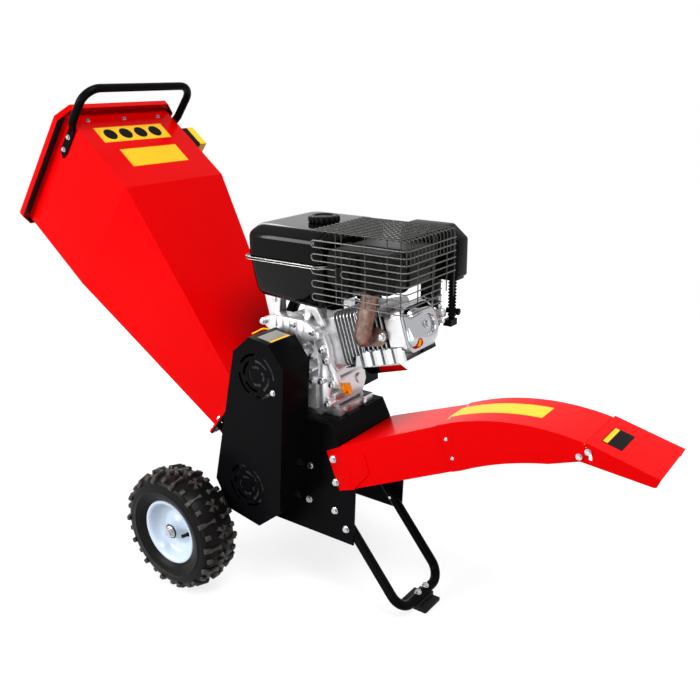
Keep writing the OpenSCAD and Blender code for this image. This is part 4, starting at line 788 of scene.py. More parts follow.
class Workshop:
    """Turns shapes and CAD nodes into pieces of the machine, and lists them."""

    def __init__(self, library: MaterialLibrary) -> None:
        """Opens the workshop.

        Args:
            library: where the materials come from.
        """
        self.library = library
        self.repeater = Repeater()
        self.made: list[str] = []

    def piece(self, name: str, mesh: bpy.types.Mesh, looks: Sequence[Look], body: str = MACHINE,
              stands_for: Sequence[str] = (), crease: float | None = 32.0) -> bpy.types.Object:
        """Adds a mesh to the scene as one piece.

        Args:
            name: the piece's name.
            mesh: its mesh, in the frame's metres.
            looks: its surfaces, by material number.
            body: the body that it rides.
            stands_for: CAD nodes that it replaces.
            crease: angle over which an edge stays sharp, or None to keep the mesh's own normals.

        Returns:
            The piece.
        """
        tags = [0] * len(mesh.polygons)
        mesh.polygons.foreach_get("material_index", tags)
        mesh.materials.clear()
        for look in looks:
            mesh.materials.append(self.library.get(look))
        if len(looks) > 1:
            mesh.polygons.foreach_set("material_index", tags)
        if crease is not None:
            mesh.polygons.foreach_set("use_smooth", [True] * len(mesh.polygons))
            mesh.set_sharp_from_angle(angle=math.radians(crease))
        obj = bpy.data.objects.new(name, mesh)
        bpy.context.scene.collection.objects.link(obj)
        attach(obj, body)
        if stands_for:
            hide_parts(*stands_for)
        self.made.append(name)
        return obj

    def make(self, name: str, shape: Shape, *looks: Look, body: str = MACHINE, stands_for: Sequence[str] = (),
             crease: float = 32.0, bevel: float = 0.0, segments: int = 2) -> bpy.types.Object:
        """Adds a shape to the scene as one piece.

        Args:
            name: the piece's name.
            shape: its shape, in the frame's metres.
            looks: its surfaces, by material number.
            body: the body that it rides.
            stands_for: CAD nodes that it replaces.
            crease: angle over which an edge stays sharp.
            bevel: rounding of its edges, in millimetres.
            segments: steps of the rounding.

        Returns:
            The piece.
        """
        return self.piece(name, shape.mesh(name, bevel, segments), looks, body, stands_for, crease)

    def repeat(self, name: str, unit: Shape, places: Sequence[Matrix], look: Look, body: str = MACHINE,
               crease: float = 32.0, bevel: float = 0.0) -> bpy.types.Object:
        """Adds many copies of a unit as one piece.

        Args:
            name: the piece's name.
            unit: the shape to repeat.
            places: where the copies go.
            look: their surface.
            body: the body that they ride.
            crease: angle over which an edge stays sharp.
            bevel: rounding of the unit's edges, in millimetres.

        Returns:
            The piece.
        """
        mesh = self.repeater.spread(name, unit.mesh(name + "_one", bevel), places, self.library.get(look))
        return self.piece(name, mesh, (look,), body, crease=crease)

    def softened(self, node: str, look: Look, width: float) -> bpy.types.Object:
        """Adds a copy of a CAD node with rounded edges, in its place.

        Args:
            node: the CAD node.
            look: its surface.
            width: rounding of its edges, in millimetres.

        Returns:
            The piece.
        """
        source = frame["nodes"][node]
        work = bmesh.new()
        work.from_mesh(source.data)
        bmesh.ops.remove_doubles(work, verts=work.verts, dist=MERGE_CAD)
        bmesh.ops.dissolve_limit(work, angle_limit=math.radians(FLAT), verts=work.verts, edges=work.edges)
        for face in work.faces:
            face.smooth = True
        mesh = bpy.data.meshes.new(node + "_plain")
        work.to_mesh(mesh)
        work.free()
        holder = bpy.data.objects.new(node + "_holder", mesh)
        bpy.context.scene.collection.objects.link(holder)
        bevel = holder.modifiers.new("bevel", "BEVEL")
        bevel.width, bevel.segments, bevel.use_clamp_overlap = width / 1000, 2, True
        bevel.limit_method = "ANGLE"
        bevel.angle_limit = math.radians(SHEET_FOLD if look is Look.RED else CAST_EDGE)
        weighted = holder.modifiers.new("weighted", "WEIGHTED_NORMAL")
        weighted.mode, weighted.weight = "FACE_AREA", 100
        graph = bpy.context.evaluated_depsgraph_get()
        soft = bpy.data.meshes.new_from_object(holder.evaluated_get(graph), depsgraph=graph)
        holder.modifiers.clear()
        bpy.data.objects.remove(holder)
        soft.name = node + "_soft"
        return self.piece(soft.name, soft, (look,), source["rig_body"], (node,), crease=None)

    def dress(self, node: str, look: Look) -> None:
        """Gives a CAD node the material of a look.

        Args:
            node: the CAD node.
            look: its surface.
        """
        mesh = frame["nodes"][node].data
        mesh.materials.clear()
        mesh.materials.append(self.library.get(look))
        self.made.append(node)


@dataclass(frozen=True)
class Part:
    """A sub-assembly of the machine.

    Attributes:
        shop: the workshop that makes its pieces.
    """

    shop: Workshop

    def build(self) -> None:
        """Adds the sub-assembly's pieces."""
        raise NotImplementedError


@dataclass(frozen=True)
class Bodywork(Part):
    """The CAD nodes that show: dressed as they are, or as copies with softened edges."""

    def build(self) -> None:
        """Dresses or softens each of these nodes."""
        for look, names in NODE_LOOKS.items():
            for name in names:
                if name in SOFT_EDGES:
                    self.shop.softened(name, look, SOFT_EDGES[name])
                else:
                    self.shop.dress(name, look)


@dataclass(frozen=True)
class Wheel(Part):
    """One wheel: tyre, tread, dished rim, hub ring and valve, in millimetres and degrees.

    Attributes:
        side: the side of the machine.
        track: distance of the wheel's middle from the middle plane.
        axle: height of the axle.
        crown: radius of the tread's middle.
        arc: radius of the tread's curve across the wheel.
        crown_turns: steps across half of the tread.
        wall: radius and offset of the side wall's points.
        dish: radius and offset of the rim's points.
        hub: radius and offset of the hub ring's points.
        valve: place of the valve's foot and tip from the wheel's middle, with y outwards.
        valve_radii: radius of the valve's foot and stem.
        valve_joint: where the foot ends and the stem starts, as shares of the way.
        repeats: crosses in one turn of the tread.
        lug_length: length of a lug.
        lug_lean: lean of the two lugs of a cross.
        lug_outline: a lug's outline, as shares of its half length and half width.
        lug_levels: height, inset and width of a lug's levels.
        bar_tilt: angle of the bars across the tread.
        stud_levels: height, length and width of a stud's levels.
        stud_tilts: angle of the studs across the tread, beside a cross and beside a bar.
    """

    side: Side
    track: float = 276.0
    axle: float = 165.0
    crown: float = 157.0
    arc: float = 120.0
    crown_turns: tuple[float, ...] = (0, 4, 8, 12, 16, 20, 22)
    wall: tuple[Pair, ...] = (
        (146.4, 47.4), (142.5, 50.4), (136, 52.7), (128, 53.7), (121, 53.9), (119.5, 54.8), (116.5, 54.8),
        (115, 53.6), (108, 52.3), (101, 49.2), (96, 45.8), (92.5, 43.7), (90, 42.4), (88.4, 40), (88.4, 36))
    dish: tuple[Pair, ...] = (
        (9.8, 34.6), (19.4, 34.6), (20.4, 33.6), (21.5, 28), (25, 21.5), (31, 16), (38, 12), (44, 9.8),
        (47, 9.4), (50, 10.2), (53, 12.4), (58, 14), (64.5, 17.4), (69.5, 22.5), (72.8, 29), (75, 35.5),
        (77.5, 39.8), (81, 42.2), (84.5, 43), (87, 42.4), (88, 40.6), (88, 36))
    hub: tuple[Pair, ...] = ((13, 34.7), (13, 36.2), (14, 36.9), (18.6, 36.9), (19.6, 36), (19.6, 34.7))
    valve: tuple[Triple, Triple] = ((57, 15, 4), (41, 37, -1))
    valve_radii: Pair = (5.8, 4.5)
    valve_joint: Pair = (0.45, 0.4)
    repeats: int = 14
    lug_length: float = 36.0
    lug_lean: float = 40.0
    lug_outline: tuple[Pair, ...] = (
        (-1, -1.5), (-0.72, -1.2), (-0.3, -0.62), (0.3, -0.62), (0.72, -1.2), (1, -1.5),
        (1, 1.5), (0.72, 1.2), (0.3, 0.62), (-0.3, 0.62), (-0.72, 1.2), (-1, 1.5))
    lug_levels: tuple[Triple, ...] = ((-2.2, 0, 8.8), (5, 0.6, 8), (7.8, 2, 6.4))
    bar_tilt: float = 13.5
    stud_levels: tuple[Triple, ...] = ((-3, 13.5, 15), (4.5, 12, 13.5), (6.6, 9.5, 11))
    stud_tilts: Pair = (20.0, 24.0)

    @property
    def name(self) -> str:
        """The side's name."""
        return self.side.name.lower()

    @property
    def body(self) -> str:
        """The body that the wheel's pieces ride."""
        return "wheel_" + self.name

    @property
    def centre(self) -> Vector:
        """The wheel's middle."""
        return at(0, self.side.value * self.track, self.axle)

    @property
    def out(self) -> Vector:
        """The direction away from the machine."""
        return Vector((0, self.side.value, 0))

    def build(self) -> None:
        """Adds the wheel's pieces."""
        half = [self._crown(math.radians(t)) for t in self.crown_turns] + list(self.wall)
        whole = [(r, -h) for r, h in reversed(half[1:])] + half
        tyre = Shape().revolve(whole, self.centre, self.out, steps=96, loop=True)
        self.shop.make("tyre_" + self.name + "_case", tyre, Look.TYRE, body=self.body,
                       stands_for=("tyre_" + self.name,))
        dish = list(self.dish) + [(r, -h) for r, h in reversed(self.dish)]
        rim = Shape().revolve(dish, self.centre, self.out, steps=72, loop=True)
        self.shop.make("rim_" + self.name + "_dish", rim, Look.RIM, body=self.body,
                       stands_for=("rim_" + self.name,))
        ring = Shape().revolve(self.hub, self.centre, self.out, steps=40, loop=True)
        foot, tip = (self.centre + Vector((x, 0, z)) / 1000 + self.out * (y / 1000) for x, y, z in self.valve)
        ring.tube([foot, foot.lerp(tip, self.valve_joint[0])], self.valve_radii[0], sides=14)
        ring.tube([foot.lerp(tip, self.valve_joint[1]), tip], self.valve_radii[1], sides=14)
        self.shop.make("hub_ring_" + self.name, ring, Look.RUBBER, body=self.body)
        self._tread()

    def _crown(self, tilt: float) -> Pair:
        """Finds a point of the tread's cross section.

        Args:
            tilt: angle across the tread, in radians.

        Returns:
            Its radius and its offset from the wheel's middle.
        """
        return self.crown - self.arc + self.arc * math.cos(tilt), self.arc * math.sin(tilt)

    def _tread(self) -> None:
        """Adds the tread's crosses and bars, and the studs on its shoulders."""
        cross = Shape()
        for lean in (-self.lug_lean, self.lug_lean):
            self._lug(cross, lean)
        bar = self._lug(Shape(), 90)
        stud = Shape().rings([[Vector((x * length / 2, y * width / 2, z)) / 1000
                               for x, y in corners(-1, 1, -1, 1)] for z, length, width in self.stud_levels])
        crosses, bars, studs = [], [], []
        for k in range(self.repeats):
            here, between = (-90 + (k + part) * 360 / self.repeats for part in (0, 0.5))
            crosses.append(self._place(here, 0))
            for way in (1, -1):
                bars.append(self._place(between, self.bar_tilt * way))
                studs += [self._place(turn, tilt * way)
                          for turn, tilt in zip((here, between), self.stud_tilts)]
        for name, unit, places in (("bars_", bar, bars), ("lugs_", cross, crosses), ("studs_", stud, studs)):
            self.shop.repeat(name + self.name, unit, places, Look.LUG, self.body, bevel=0.6)

    def _lug(self, shape: Shape, lean: float) -> Shape:
        """Adds a lug with a narrow waist and flared ends, on its own origin.

        Args:
            shape: the shape that gathers it.
            lean: its angle to the wheel's turn, in degrees.

        Returns:
            The shape.
        """
        turn = Matrix.Rotation(math.radians(lean), 3, "Z")
        rings = []
        for z, inset, width in self.lug_levels:
            half = self.lug_length / 2 - inset
            rings.append([turn @ Vector((x * half, y * width / 2, z)) / 1000 for x, y in self.lug_outline])
        return shape.rings(rings)

    def _place(self, turn: float, tilt: float) -> Matrix:
        """Finds a place on the tread.

        Args:
            turn: angle round the wheel, in degrees.
            tilt: angle across the tread, in degrees.

        Returns:
            The placing matrix, with Z square to the tread.
        """
        t, p = math.radians(turn), math.radians(tilt)
        ray, across = Vector((math.cos(t), 0, math.sin(t))), Vector(LEFTWARD)
        radius, offset = self._crown(p)
        place = self.centre + ray * (radius / 1000) + across * (offset / 1000)
        return frame_of(place, ray * math.cos(p) + across * math.sin(p), (-math.sin(t), 0, math.cos(t)))


@dataclass(frozen=True)
class Guard(Part):
    """Wire guard round the muffler: hairpin rows painted lighter for highlights, a top grid painted darker
    for shade, and straps, in millimetres from the crank axis.

    Attributes:
        left: where the near face starts.
        right: where the near face ends.
        near: y of the near face.
        far: y of the far end.
        top: height of the top.
        pitch: distance between wires.
        rows: number of rows under the top.
        wire: radius of the wire.
        thin: radius of the hidden wires, as shares of the wire's.
        bend: rounding of the guard's corners, in metres.
        split_row: the row with a gap in it.
        split: start and end of that gap from the left.
        short_row: the first row that stops short on the right face.
        short_by: how far such rows stop short.
        uprights: places of the uprights behind the near face, from the left.
        upright_gap: how far they lie behind it.
        grid_wires: wires across the top.
        grid_start: place of the first of them, from the left.
        under: how far wires lie under those that they cross.
        drops: how far the top's wires run down the right face, in pitches: the common and the long ones.
        long_every: one in so many of these wires is a long one.
        tuck: how far the near uprights lie lower than the rows, the top's cross wires pass the near face
            and the right face's uprights start under the top.
        posts: distance of the right face's uprights from the far end.
        strap_x: middles of the straps to the muffler.
        strap: half width, far end, bottom and top of these straps.
        clip: low and high corner of the upright strap, with y from the near face.
    """

    left: float = 108.0
    right: float = 365.0
    near: float = -124.0
    far: float = 86.0
    top: float = 349.0
    pitch: float = 15.5
    rows: int = 10
    wire: float = 1.55
    thin: Pair = (0.85, 0.9)
    bend: Pair = (0.015, 0.016)
    split_row: int = 5
    split: Pair = (68.0, 84.0)
    short_row: int = 7
    short_by: float = 60.0
    uprights: tuple[float, ...] = (68.0, 84.0, 148.0, 206.0, 241.0)
    upright_gap: float = 2.6
    grid_wires: int = 17
    grid_start: float = 4.0
    under: float = 2.6
    drops: Pair = (3.6, 9.2)
    long_every: int = 4
    tuck: Triple = (2.0, 1.0, 4.0)
    posts: Pair = (0.5, 92.0)
    strap_x: Pair = (178.0, 294.0)
    strap: Quad = (6.0, -103.6, 270.0, 273.0)
    clip: Block = ((208.0, 3.5, 206.0), (220.0, 6.0, 300.0))

    def build(self) -> None:
        """Adds the guard's pieces."""
        rows = Shape()
        for i in range(1, self.rows, 2):
            upper, lower = self.top - (i + 0.5) * self.pitch, self.top - (i + 1.5) * self.pitch
            far = self.far if i < self.short_row else self.far - self.short_by
            start = self.left
            if i == self.split_row:
                self._hairpin(rows, start, start + self.split[0], upper, lower)
                start += self.split[1]
            self._hairpin(rows, start, None, upper, lower, far)
        # Painted highlight on the rows and painted shade on the grid: one wire in two tones.
        self.shop.make("guard_rows", rows, Look.WIRE, stands_for=("muffler_guard",), crease=60)
        self.shop.make("guard_grid", self._grid(), Look.DARK_WIRE, crease=60)
        straps = Shape()
        half, end, low, high = self.strap
        for x in self.strap_x:
            straps.box(en(x - half, self.near, low), en(x + half, end, high))
        straps.box(*(en(x, self.near + y, z) for x, y, z in self.clip))
        self.shop.make("guard_straps", straps, Look.BLACK, bevel=0.8)

    def _grid(self) -> Shape:
        """Makes the top grid and the uprights.

        Returns:
            The wires.
        """
        grid = Shape()
        low = self.top - (self.rows + 0.5) * self.pitch
        for x in self.uprights:
            y = self.near + self.upright_gap
            path = [en(self.left + x, y, z - self.tuck[0]) for z in (self.top, low)]
            grid.tube(path, self.wire * self.thin[0], sides=6)
        for k in range(int((self.far - self.near) / self.pitch) + 1):
            y = self.near + k * self.pitch
            drop = self.drops[(k + 1) % self.long_every == 0] * self.pitch
            path = [en(x, y, self.top) for x in (self.left, self.right)]
            path.append(en(self.right, y, self.top - drop))
            grid.tube(fillet(path, self.bend[0], 6), self.wire)
        for k in range(self.grid_wires):
            x, z = self.left + self.grid_start + k * self.pitch, self.top - self.under
            path = [en(x, self.near - self.tuck[1], z), en(x, self.far, z)]
            grid.tube(path, self.wire * self.thin[1], sides=6)
        for inset in self.posts:
            x, y = self.right - self.under, self.far - inset
            grid.tube([en(x, y, self.top - self.tuck[2]), en(x, y, low)], self.wire, sides=6)
        return grid

    def _hairpin(self, rows: Shape, left: float, right: float | None, upper: float, lower: float,
                 far: float = 0.0) -> None:
        """Adds two rows joined by a round end.

        Args:
            rows: the shape that gathers the wires.
            left: where the round end starts.
            right: where the rows stop on the near face, or None if they go round the corner.
            upper: height of the upper row.
            lower: height of the lower row.
            far: where rows that go round the corner stop.
        """
        bend, middle = (upper - lower) / 2, (upper + lower) / 2
        turn = [en(left + bend - bend * math.sin(t), self.near, middle + bend * math.cos(t))
                for t in (math.pi * k / 8 for k in range(9))]
        if right is None:
            first, last = ([en(self.right, far, z), en(self.right, self.near, z)] for z in (upper, lower))
            first = fillet(first + turn[:1], self.bend[1], 6)
            last = fillet(turn[-1:] + last[::-1], self.bend[1], 6)
        else:
            first, last = [en(right, self.near, upper), turn[0]], [turn[-1], en(right, self.near, lower)]
        rows.tube(first[:-1] + turn + last[1:], self.wire)


@dataclass(frozen=True)
class Tank(Part):
    """Fuel tank: lower and upper half, rolled seam with painted highlights on its edges, and filler, in
    millimetres from the crank axis.

    Attributes:
        left: where it starts.
        near: y of its near side.
        length: its size along x.
        width: its size along y.
        fall: how far its floor drops towards the head.
        falling: number of levels of the floor that drop.
        lower: height, inset and corner radius of the lower half's levels.
        upper: the same for the upper half.
        seam: the same for the rolled seam.
        wires: the same for the two pale rings that paint the highlights on the seam's edges.
        wire: radius of these painted highlights.
        filler: the filler's neck.
    """

    left: float = -114.0
    near: float = -110.0
    length: float = 242.0
    width: float = 275.0
    fall: float = 14.0
    falling: int = 5
    lower: tuple[Triple, ...] = (
        (164, 31, 13), (164.5, 27, 15), (167, 22.5, 18), (173, 17.5, 20), (184, 13.5, 22), (214, 8.6, 24),
        (238, 5.6, 24), (258, 4, 24))
    upper: tuple[Triple, ...] = (
        (260, 3, 24), (309, 3, 24), (314, 3.6, 24), (319, 5, 24), (324, 8.2, 24), (334.5, 18.6, 24),
        (337.5, 21.8, 24), (339.4, 25, 23), (340, 29, 22), (340, 40, 20))
    seam: tuple[Triple, ...] = (
        (256.6, -3, 29), (257, -5.6, 29), (258.4, -6, 29), (259.6, -6, 29), (261, -5.6, 29), (261.4, -3, 29))
    # Painted highlight: two pale rings along the seam's edges stand for its edge highlights.
    wires: tuple[Triple, ...] = ((256.2, -5.4, 28.5), (261.8, -5.4, 28.5))
    wire: float = 0.9
    filler: Turned = Turned(((30, 338), (30, 341), (27, 344), (26, 348), (23, 348), (23, 338)),
                            (38, 16.5, 0), steps=40)

    def _ring(self, z: float, inset: float, radius: float, fall: float = 0.0) -> list[Vector]:
        """Outlines the tank at one level.

        Args:
            z: height of the level.
            inset: how far it lies inside the widest level.
            radius: radius of its corners.
            fall: how far it drops towards the head.

        Returns:
            The level's points.
        """
        x0, y0 = self.left + self.length / 2, self.near + self.width / 2
        return [en(x0 + x, y0 + y, z - fall * (x / self.length + 0.5))
                for x, y in rounded(self.length - 2 * inset, self.width - 2 * inset, radius)]

    def build(self) -> None:
        """Adds the tank's pieces."""
        shell = Shape().rings([self._ring(*level, self.fall if k < self.falling else 0)
                               for k, level in enumerate(self.lower)])
        for levels in (self.upper, self.seam):
            shell.rings([self._ring(*level) for level in levels])
        self.filler.add_to(shell, loop=True)
        self.shop.make("tank_shell", shell, Look.TANK, stands_for=("fuel_tank",), crease=38)
        # Painted highlight: pale rings along the seam's edges.
        edges = Shape()
        for level in self.wires:
            edges.tube(self._ring(*level), self.wire, sides=6, loop=True)
        self.shop.make("tank_seam", edges, Look.SEAM, crease=60)


@dataclass(frozen=True)
class Head(Part):
    """Head end of the engine: rocker cover, exhaust elbow, fins with a dark plate behind them as painted
    shade, and fluted sheet, in millimetres and degrees.

    Attributes:
        dome: distance along the cylinder, width, height and corner radius of the rocker cover's levels.
        rim: the same for its rim.
        bolt: distance of its bolt along the cylinder.
        elbow: corners of the elbow's path from the crank axis.
        elbow_radius: radius of the elbow.
        elbow_bend: rounding of its corners, in metres.
        flange: width, height and corner radius of its flange.
        flange_place: middle of its flange from the crank axis.
        flange_turn: turn of its flange.
        flange_depth: depth of its flange.
        nut: place of a flange nut from the flange's middle, along x and z.
        shade_field: start, end, bottom and top of the dark plate behind the fins that paints the shade
            between them, along and square to the cylinder.
        shade_field_y: y of this painted shade.
        shade_field_depth: depth of this painted shade.
        fins: number of fins.
        fin_start: place of the first fin along the cylinder.
        fin_pitch: distance between fins.
        fin_y: y of the fins.
        fin_depth: depth of a fin.
        fin_outline: side view of a fin, along and square to the cylinder.
        flutes: start, end and pitch of the fluted sheet's flutes along the cylinder.
        flute_y: y of the flutes' roots, their depth and the sheet's back.
        flute_rise: bottom and height of the sheet.
        flute_steps: points along the flutes, less one.
        flute_power: how full the flutes' curve is.
        lip: y and height of the section of the lip under the flutes.
        lip_length: length of the lip.
    """

    dome: tuple[Quad, ...] = (
        (343, 112, 99, 24), (350, 112, 99, 25), (357, 109, 96, 28), (363, 102, 89, 31), (368, 92, 79, 32),
        (371.4, 80, 67, 30), (372.6, 72, 59, 27), (373, 66, 53, 25), (372.2, 60, 47, 22), (369.5, 56, 43, 20),
        (365, 54, 41, 19))
    rim: tuple[Quad, ...] = (
        (340, 121, 109, 18), (340.6, 122, 110, 18), (344.6, 122, 110, 18), (345.4, 120, 108, 18))
    bolt: float = 365.0
    elbow: tuple[Triple, ...] = ((224, -62, 104), (225, -93, 100), (252, -93, 218))
    elbow_radius: float = 20.5
    elbow_bend: float = 0.03
    flange: Triple = (78, 44, 21.9)
    flange_place: Triple = (238, -70, 103)
    flange_turn: float = 12.0
    flange_depth: float = 8.0
    nut: Pair = (28, 6)
    # Painted shade: a dark plate behind the fins stands for the shade in the hollows between them.
    shade_field: Quad = (217, 296, -34, 41)
    shade_field_y: float = -62.5
    shade_field_depth: float = 1.0
    fins: int = 6
    fin_start: float = 222.0
    fin_pitch: float = 13.0
    fin_y: float = -68.0
    fin_depth: float = 6.0
    fin_outline: tuple[Pair, ...] = ((0, -34), (3, -34), (3, 56), (0, 66))
    flutes: Triple = (204, 328, 31)
    flute_y: Triple = (-66.4, 4.6, -64.6)
    flute_rise: Pair = (-70, 34)
    flute_steps: int = 60
    flute_power: float = 0.9
    lip: tuple[Pair, ...] = (
        (-67.4, -69), (-66.6, -73), (-42, -95), (-41.3, -94.2), (-65.8, -72.4), (-66.4, -69))
    lip_length: float = 110.0

    def build(self) -> None:
        """Adds the head's pieces."""
        cover = Shape()
        for levels in (self.dome, self.rim):
            cover.rings([[cyl(a, y, b) for y, b in rounded(w, h, r)] for a, w, h, r in levels])
        self.shop.make("rocker_dome", cover, Look.CHROME, stands_for=("rocker_cover",), crease=45)
        places = [frame_of(cyl(self.bolt, 0, 0), cyl(1, 0, 0) - cyl(0, 0, 0))]
        self.shop.repeat("rocker_bolt", hex_unit(8, 7), places, Look.ZINC, bevel=0.6)
        self._elbow()
        self._fins()
        self._flutes()

    def _elbow(self) -> None:
        """Adds the exhaust elbow with its flange and nuts."""
        path = fillet([en(*p) for p in self.elbow], self.elbow_bend, 10)
        elbow = Shape().tube(path, self.elbow_radius, sides=32)
        spin, (cx, cy, cz) = math.radians(self.flange_turn), self.flange_place
        c, s = math.cos(spin), math.sin(spin)
        elbow.prism([en(cx + x * c - z * s, cy, cz + x * s + z * c) for x, z in rounded(*self.flange)],
                    (0, self.flange_depth / 1000, 0))
        self.shop.make("elbow_bent", elbow, Look.HOT, stands_for=("exhaust_elbow",), crease=50)
        nuts = [frame_of(en(cx + k * self.nut[0], cy, cz + k * self.nut[1]), RIGHTWARD) for k in (-1, 1)]
        self.shop.repeat("elbow_nuts", hex_unit(8, 9), nuts, Look.ZINC, bevel=0.6)

    def _fins(self) -> None:
        """Adds the head's fins beside the elbow, and a dark plate behind them that paints the shade between
        them.
        """
        # Painted shade: a plate in the muffler's black stands for the shade between the fins.
        dark = Shape().prism([cyl(a, self.shade_field_y, b) for a, b in corners(*self.shade_field)],
                             (0, self.shade_field_depth / 1000, 0))
        self.shop.make("head_gaps", dark, Look.MUFFLER)
        origin = cyl(0, self.fin_y, 0)
        fin = Shape().prism([cyl(a, self.fin_y, b) - origin for a, b in self.fin_outline],
                            (0, self.fin_depth / 1000, 0))
        places = [Matrix.Translation(cyl(self.fin_start + self.fin_pitch * k, self.fin_y, 0))
                  for k in range(self.fins)]
        self.shop.repeat("head_fins", fin, places, Look.FIN, crease=50, bevel=0.8)

    def _flutes(self) -> None:
        """Adds the fluted bright sheet along the head's lower near side, and the lip under it."""
        start, end, pitch = self.flutes
        root, depth, back = self.flute_y
        low, rise = self.flute_rise
        front = []
        for k in range(self.flute_steps + 1):
            a = start + (end - start) * k / self.flute_steps
            swell = abs(math.sin(math.pi * (a - start) / pitch)) ** self.flute_power
            front.append((a, root - depth * swell))
        outline = [cyl(a, y, low) for a, y in front + [(end, back), (start, back)]]
        sheet = Shape().prism(outline, cyl(0, 0, rise) - cyl(0, 0, 0))
        self.shop.make("fluted_sheet", sheet, Look.ZINC, crease=50)
        length = cyl(self.lip_length, 0, 0) - cyl(0, 0, 0)
        lip = Shape().prism([cyl(start, y, b) for y, b in self.lip], length)
        self.shop.make("sheet_lip", lip, Look.CHROME, crease=50)


@dataclass(frozen=True)
class Intake(Part):
    """Air cleaner, breather and carburettor details, in millimetres from the crank axis.

    Attributes:
        hose_place: foot of the breather hose's axis.
        hose_ribs: number of its ribs.
        hose_start: height of the first rib.
        hose_pitch: distance between ribs.
        rib: radius and height of a rib's points.
        hose_ends: radius and height of the hose's two ends.
        knob: the knob at its end.
        hose_foot: low and high corner of its foot.
        cable: middle of the loop of cable.
        cable_reach: how far the loop goes along x, y and z.
        cable_turns: first angle, end and step of the loop, in degrees.
        cable_radius: radius of the cable.
        cover: side view of the air cleaner's cover.
        cover_y: y of its near face, and its depth.
        base: low and high corners of the base's blocks.
        bodies: turned parts of the carburettor.
        blocks: low and high corners of its blocks.
        screw_x: x of its screws.
        screws: y and z of its screws.
    """

    hose_place: Triple = (328, 143, 0)
    hose_ribs: int = 12
    hose_start: float = 118.0
    hose_pitch: float = 8.0
    rib: tuple[Pair, ...] = ((8, 0), (10.5, 1.5), (10.5, 4), (8, 5.5))
    hose_ends: tuple[Pair, Pair] = ((7.5, 100), (8.5, 222))
    knob: Turned = Turned(((7, -14), (7, 6), (5, 8), (5, 13), (8.5, 14), (8.5, 20), (7, 21)),
                          (328, 143, 131), AHEAD)
    hose_foot: Block = ((316, 123, 96), (338, 153, 112))
    cable: Triple = (352, -20, 252)
    cable_reach: Triple = (3, 20, 30)
    cable_turns: tuple[int, int, int] = (-150, 121, 15)
    cable_radius: float = 1.6
    cover: tuple[Pair, ...] = ((192, 218), (353, 218), (353, 310), (315, 341), (208, 341), (192, 325))
    cover_y: Pair = (119, 51)
    base: tuple[Block, ...] = (((196, 123, 210), (347, 166, 222)), ((247, 126, 82), (288, 160, 214)))
    bodies: tuple[Turned, ...] = (
        Turned(((17, -22), (17, 6), (14, 9)), (268, 96, 84), steps=32),
        Turned(((9, 0), (9, 16), (7, 18)), (312, 100, 138), AHEAD),
        Turned(((6, 0), (6, 22), (4.5, 24)), (312, 92, 118), AHEAD, 20),
        Turned(((3, 0), (3, 34)), (296, 104, 150), steps=16))
    blocks: tuple[Block, ...] = (((288, 82, 106), (312, 118, 150)), ((284, 108, 120), (322, 126, 132)))
    screw_x: float = 312.0
    screws: tuple[Pair, ...] = ((86, 110), (114, 112), (88, 146), (112, 147))

    def build(self) -> None:
        """Adds the intake's pieces."""
        self._breather()
        self._cleaner()
        self._carburettor()

    def _breather(self) -> None:
        """Adds the ribbed breather hose under the air cleaner with its end knob, and the loop of cable."""
        first, last = self.hose_ends
        ribs = [(r, self.hose_start + self.hose_pitch * k + z)
                for k in range(self.hose_ribs) for r, z in self.rib]
        hose = Shape()
        Turned((first, *ribs, last), self.hose_place).add_to(hose)
        self.knob.add_to(hose)
        hose.box(*(en(*p) for p in self.hose_foot))
        self.shop.make("breather_hose", hose, Look.PLASTIC, crease=50)
        (x, y, z), (dx, dy, dz) = self.cable, self.cable_reach
        loop = [en(x + dx * math.sin(t), y + dy * math.cos(t), z + dz * math.sin(t))
                for t in (math.radians(a) for a in range(*self.cable_turns))]
        self.shop.make("breather_cable", Shape().tube(loop, self.cable_radius), Look.PLASTIC, crease=60)

    def _cleaner(self) -> None:
        """Adds the air cleaner: a chamfered cover over a shallow base."""
        near, depth = self.cover_y
        cover = Shape()
        Plate(self.cover, near, near + depth).add_to(cover)
        self.shop.make("cleaner_cover", cover, Look.PLASTIC, stands_for=("air_cleaner_cover",), crease=50,
                       bevel=5, segments=3)
        base = Shape()
        for block in self.base:
            base.box(*(en(*p) for p in block))
        self.shop.make("cleaner_base", base, Look.PLASTIC, stands_for=("air_cleaner_base",), crease=50,
                       bevel=3)

    def _carburettor(self) -> None:
        """Adds the carburettor's bowl, flange, shafts and screws."""
        parts = Shape()
        for block in self.blocks:
            parts.box(*(en(*p) for p in block))
        for body in self.bodies:
            body.add_to(parts)
        self.shop.make("carburettor_parts", parts, Look.CAST, crease=40, bevel=1.2)
        places = [frame_of(en(self.screw_x, y, z), AHEAD) for y, z in self.screws]
        self.shop.repeat("carburettor_screws", hex_unit(4, 3.5), places, Look.ZINC, bevel=0.4)


@dataclass(frozen=True)
class FuelCap(Part):
    """Ribbed fuel cap, which turns with its body, in millimetres from the crank axis.

    Attributes:
        place: middle of its foot.
        levels: radius, height and depth of the ribs of its levels.
        ribs: number of ribs.
        points: points round the cap.
    """

    place: Triple = (38, 16.5, 340.3)
    levels: tuple[Triple, ...] = (
        (36, 0.4, 0.5), (37.6, 1.6, 1.5), (37.6, 12.5, 1.5), (36.4, 15, 0.5), (33, 16.6, 0.5), (25, 17, 0.5),
        (24, 16.2, 0.5), (22, 14.2, 0.5))
    ribs: int = 18
    points: int = 144

    def build(self) -> None:
        """Adds the cap."""
        x, y, z = self.place
        rings = []
        for radius, rise, depth in self.levels:
            ring = []
            for t in (2 * math.pi * k / self.points for k in range(self.points)):
                grip = radius + depth * math.cos(self.ribs * t)
                ring.append(en(x + grip * math.cos(t), y + grip * math.sin(t), z + rise))
            rings.append(ring)
        self.shop.make("fuel_cap_ribbed", Shape().rings(rings), Look.PLASTIC,
                       body=frame["nodes"]["fuel_cap"]["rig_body"], stands_for=("fuel_cap",), crease=45)


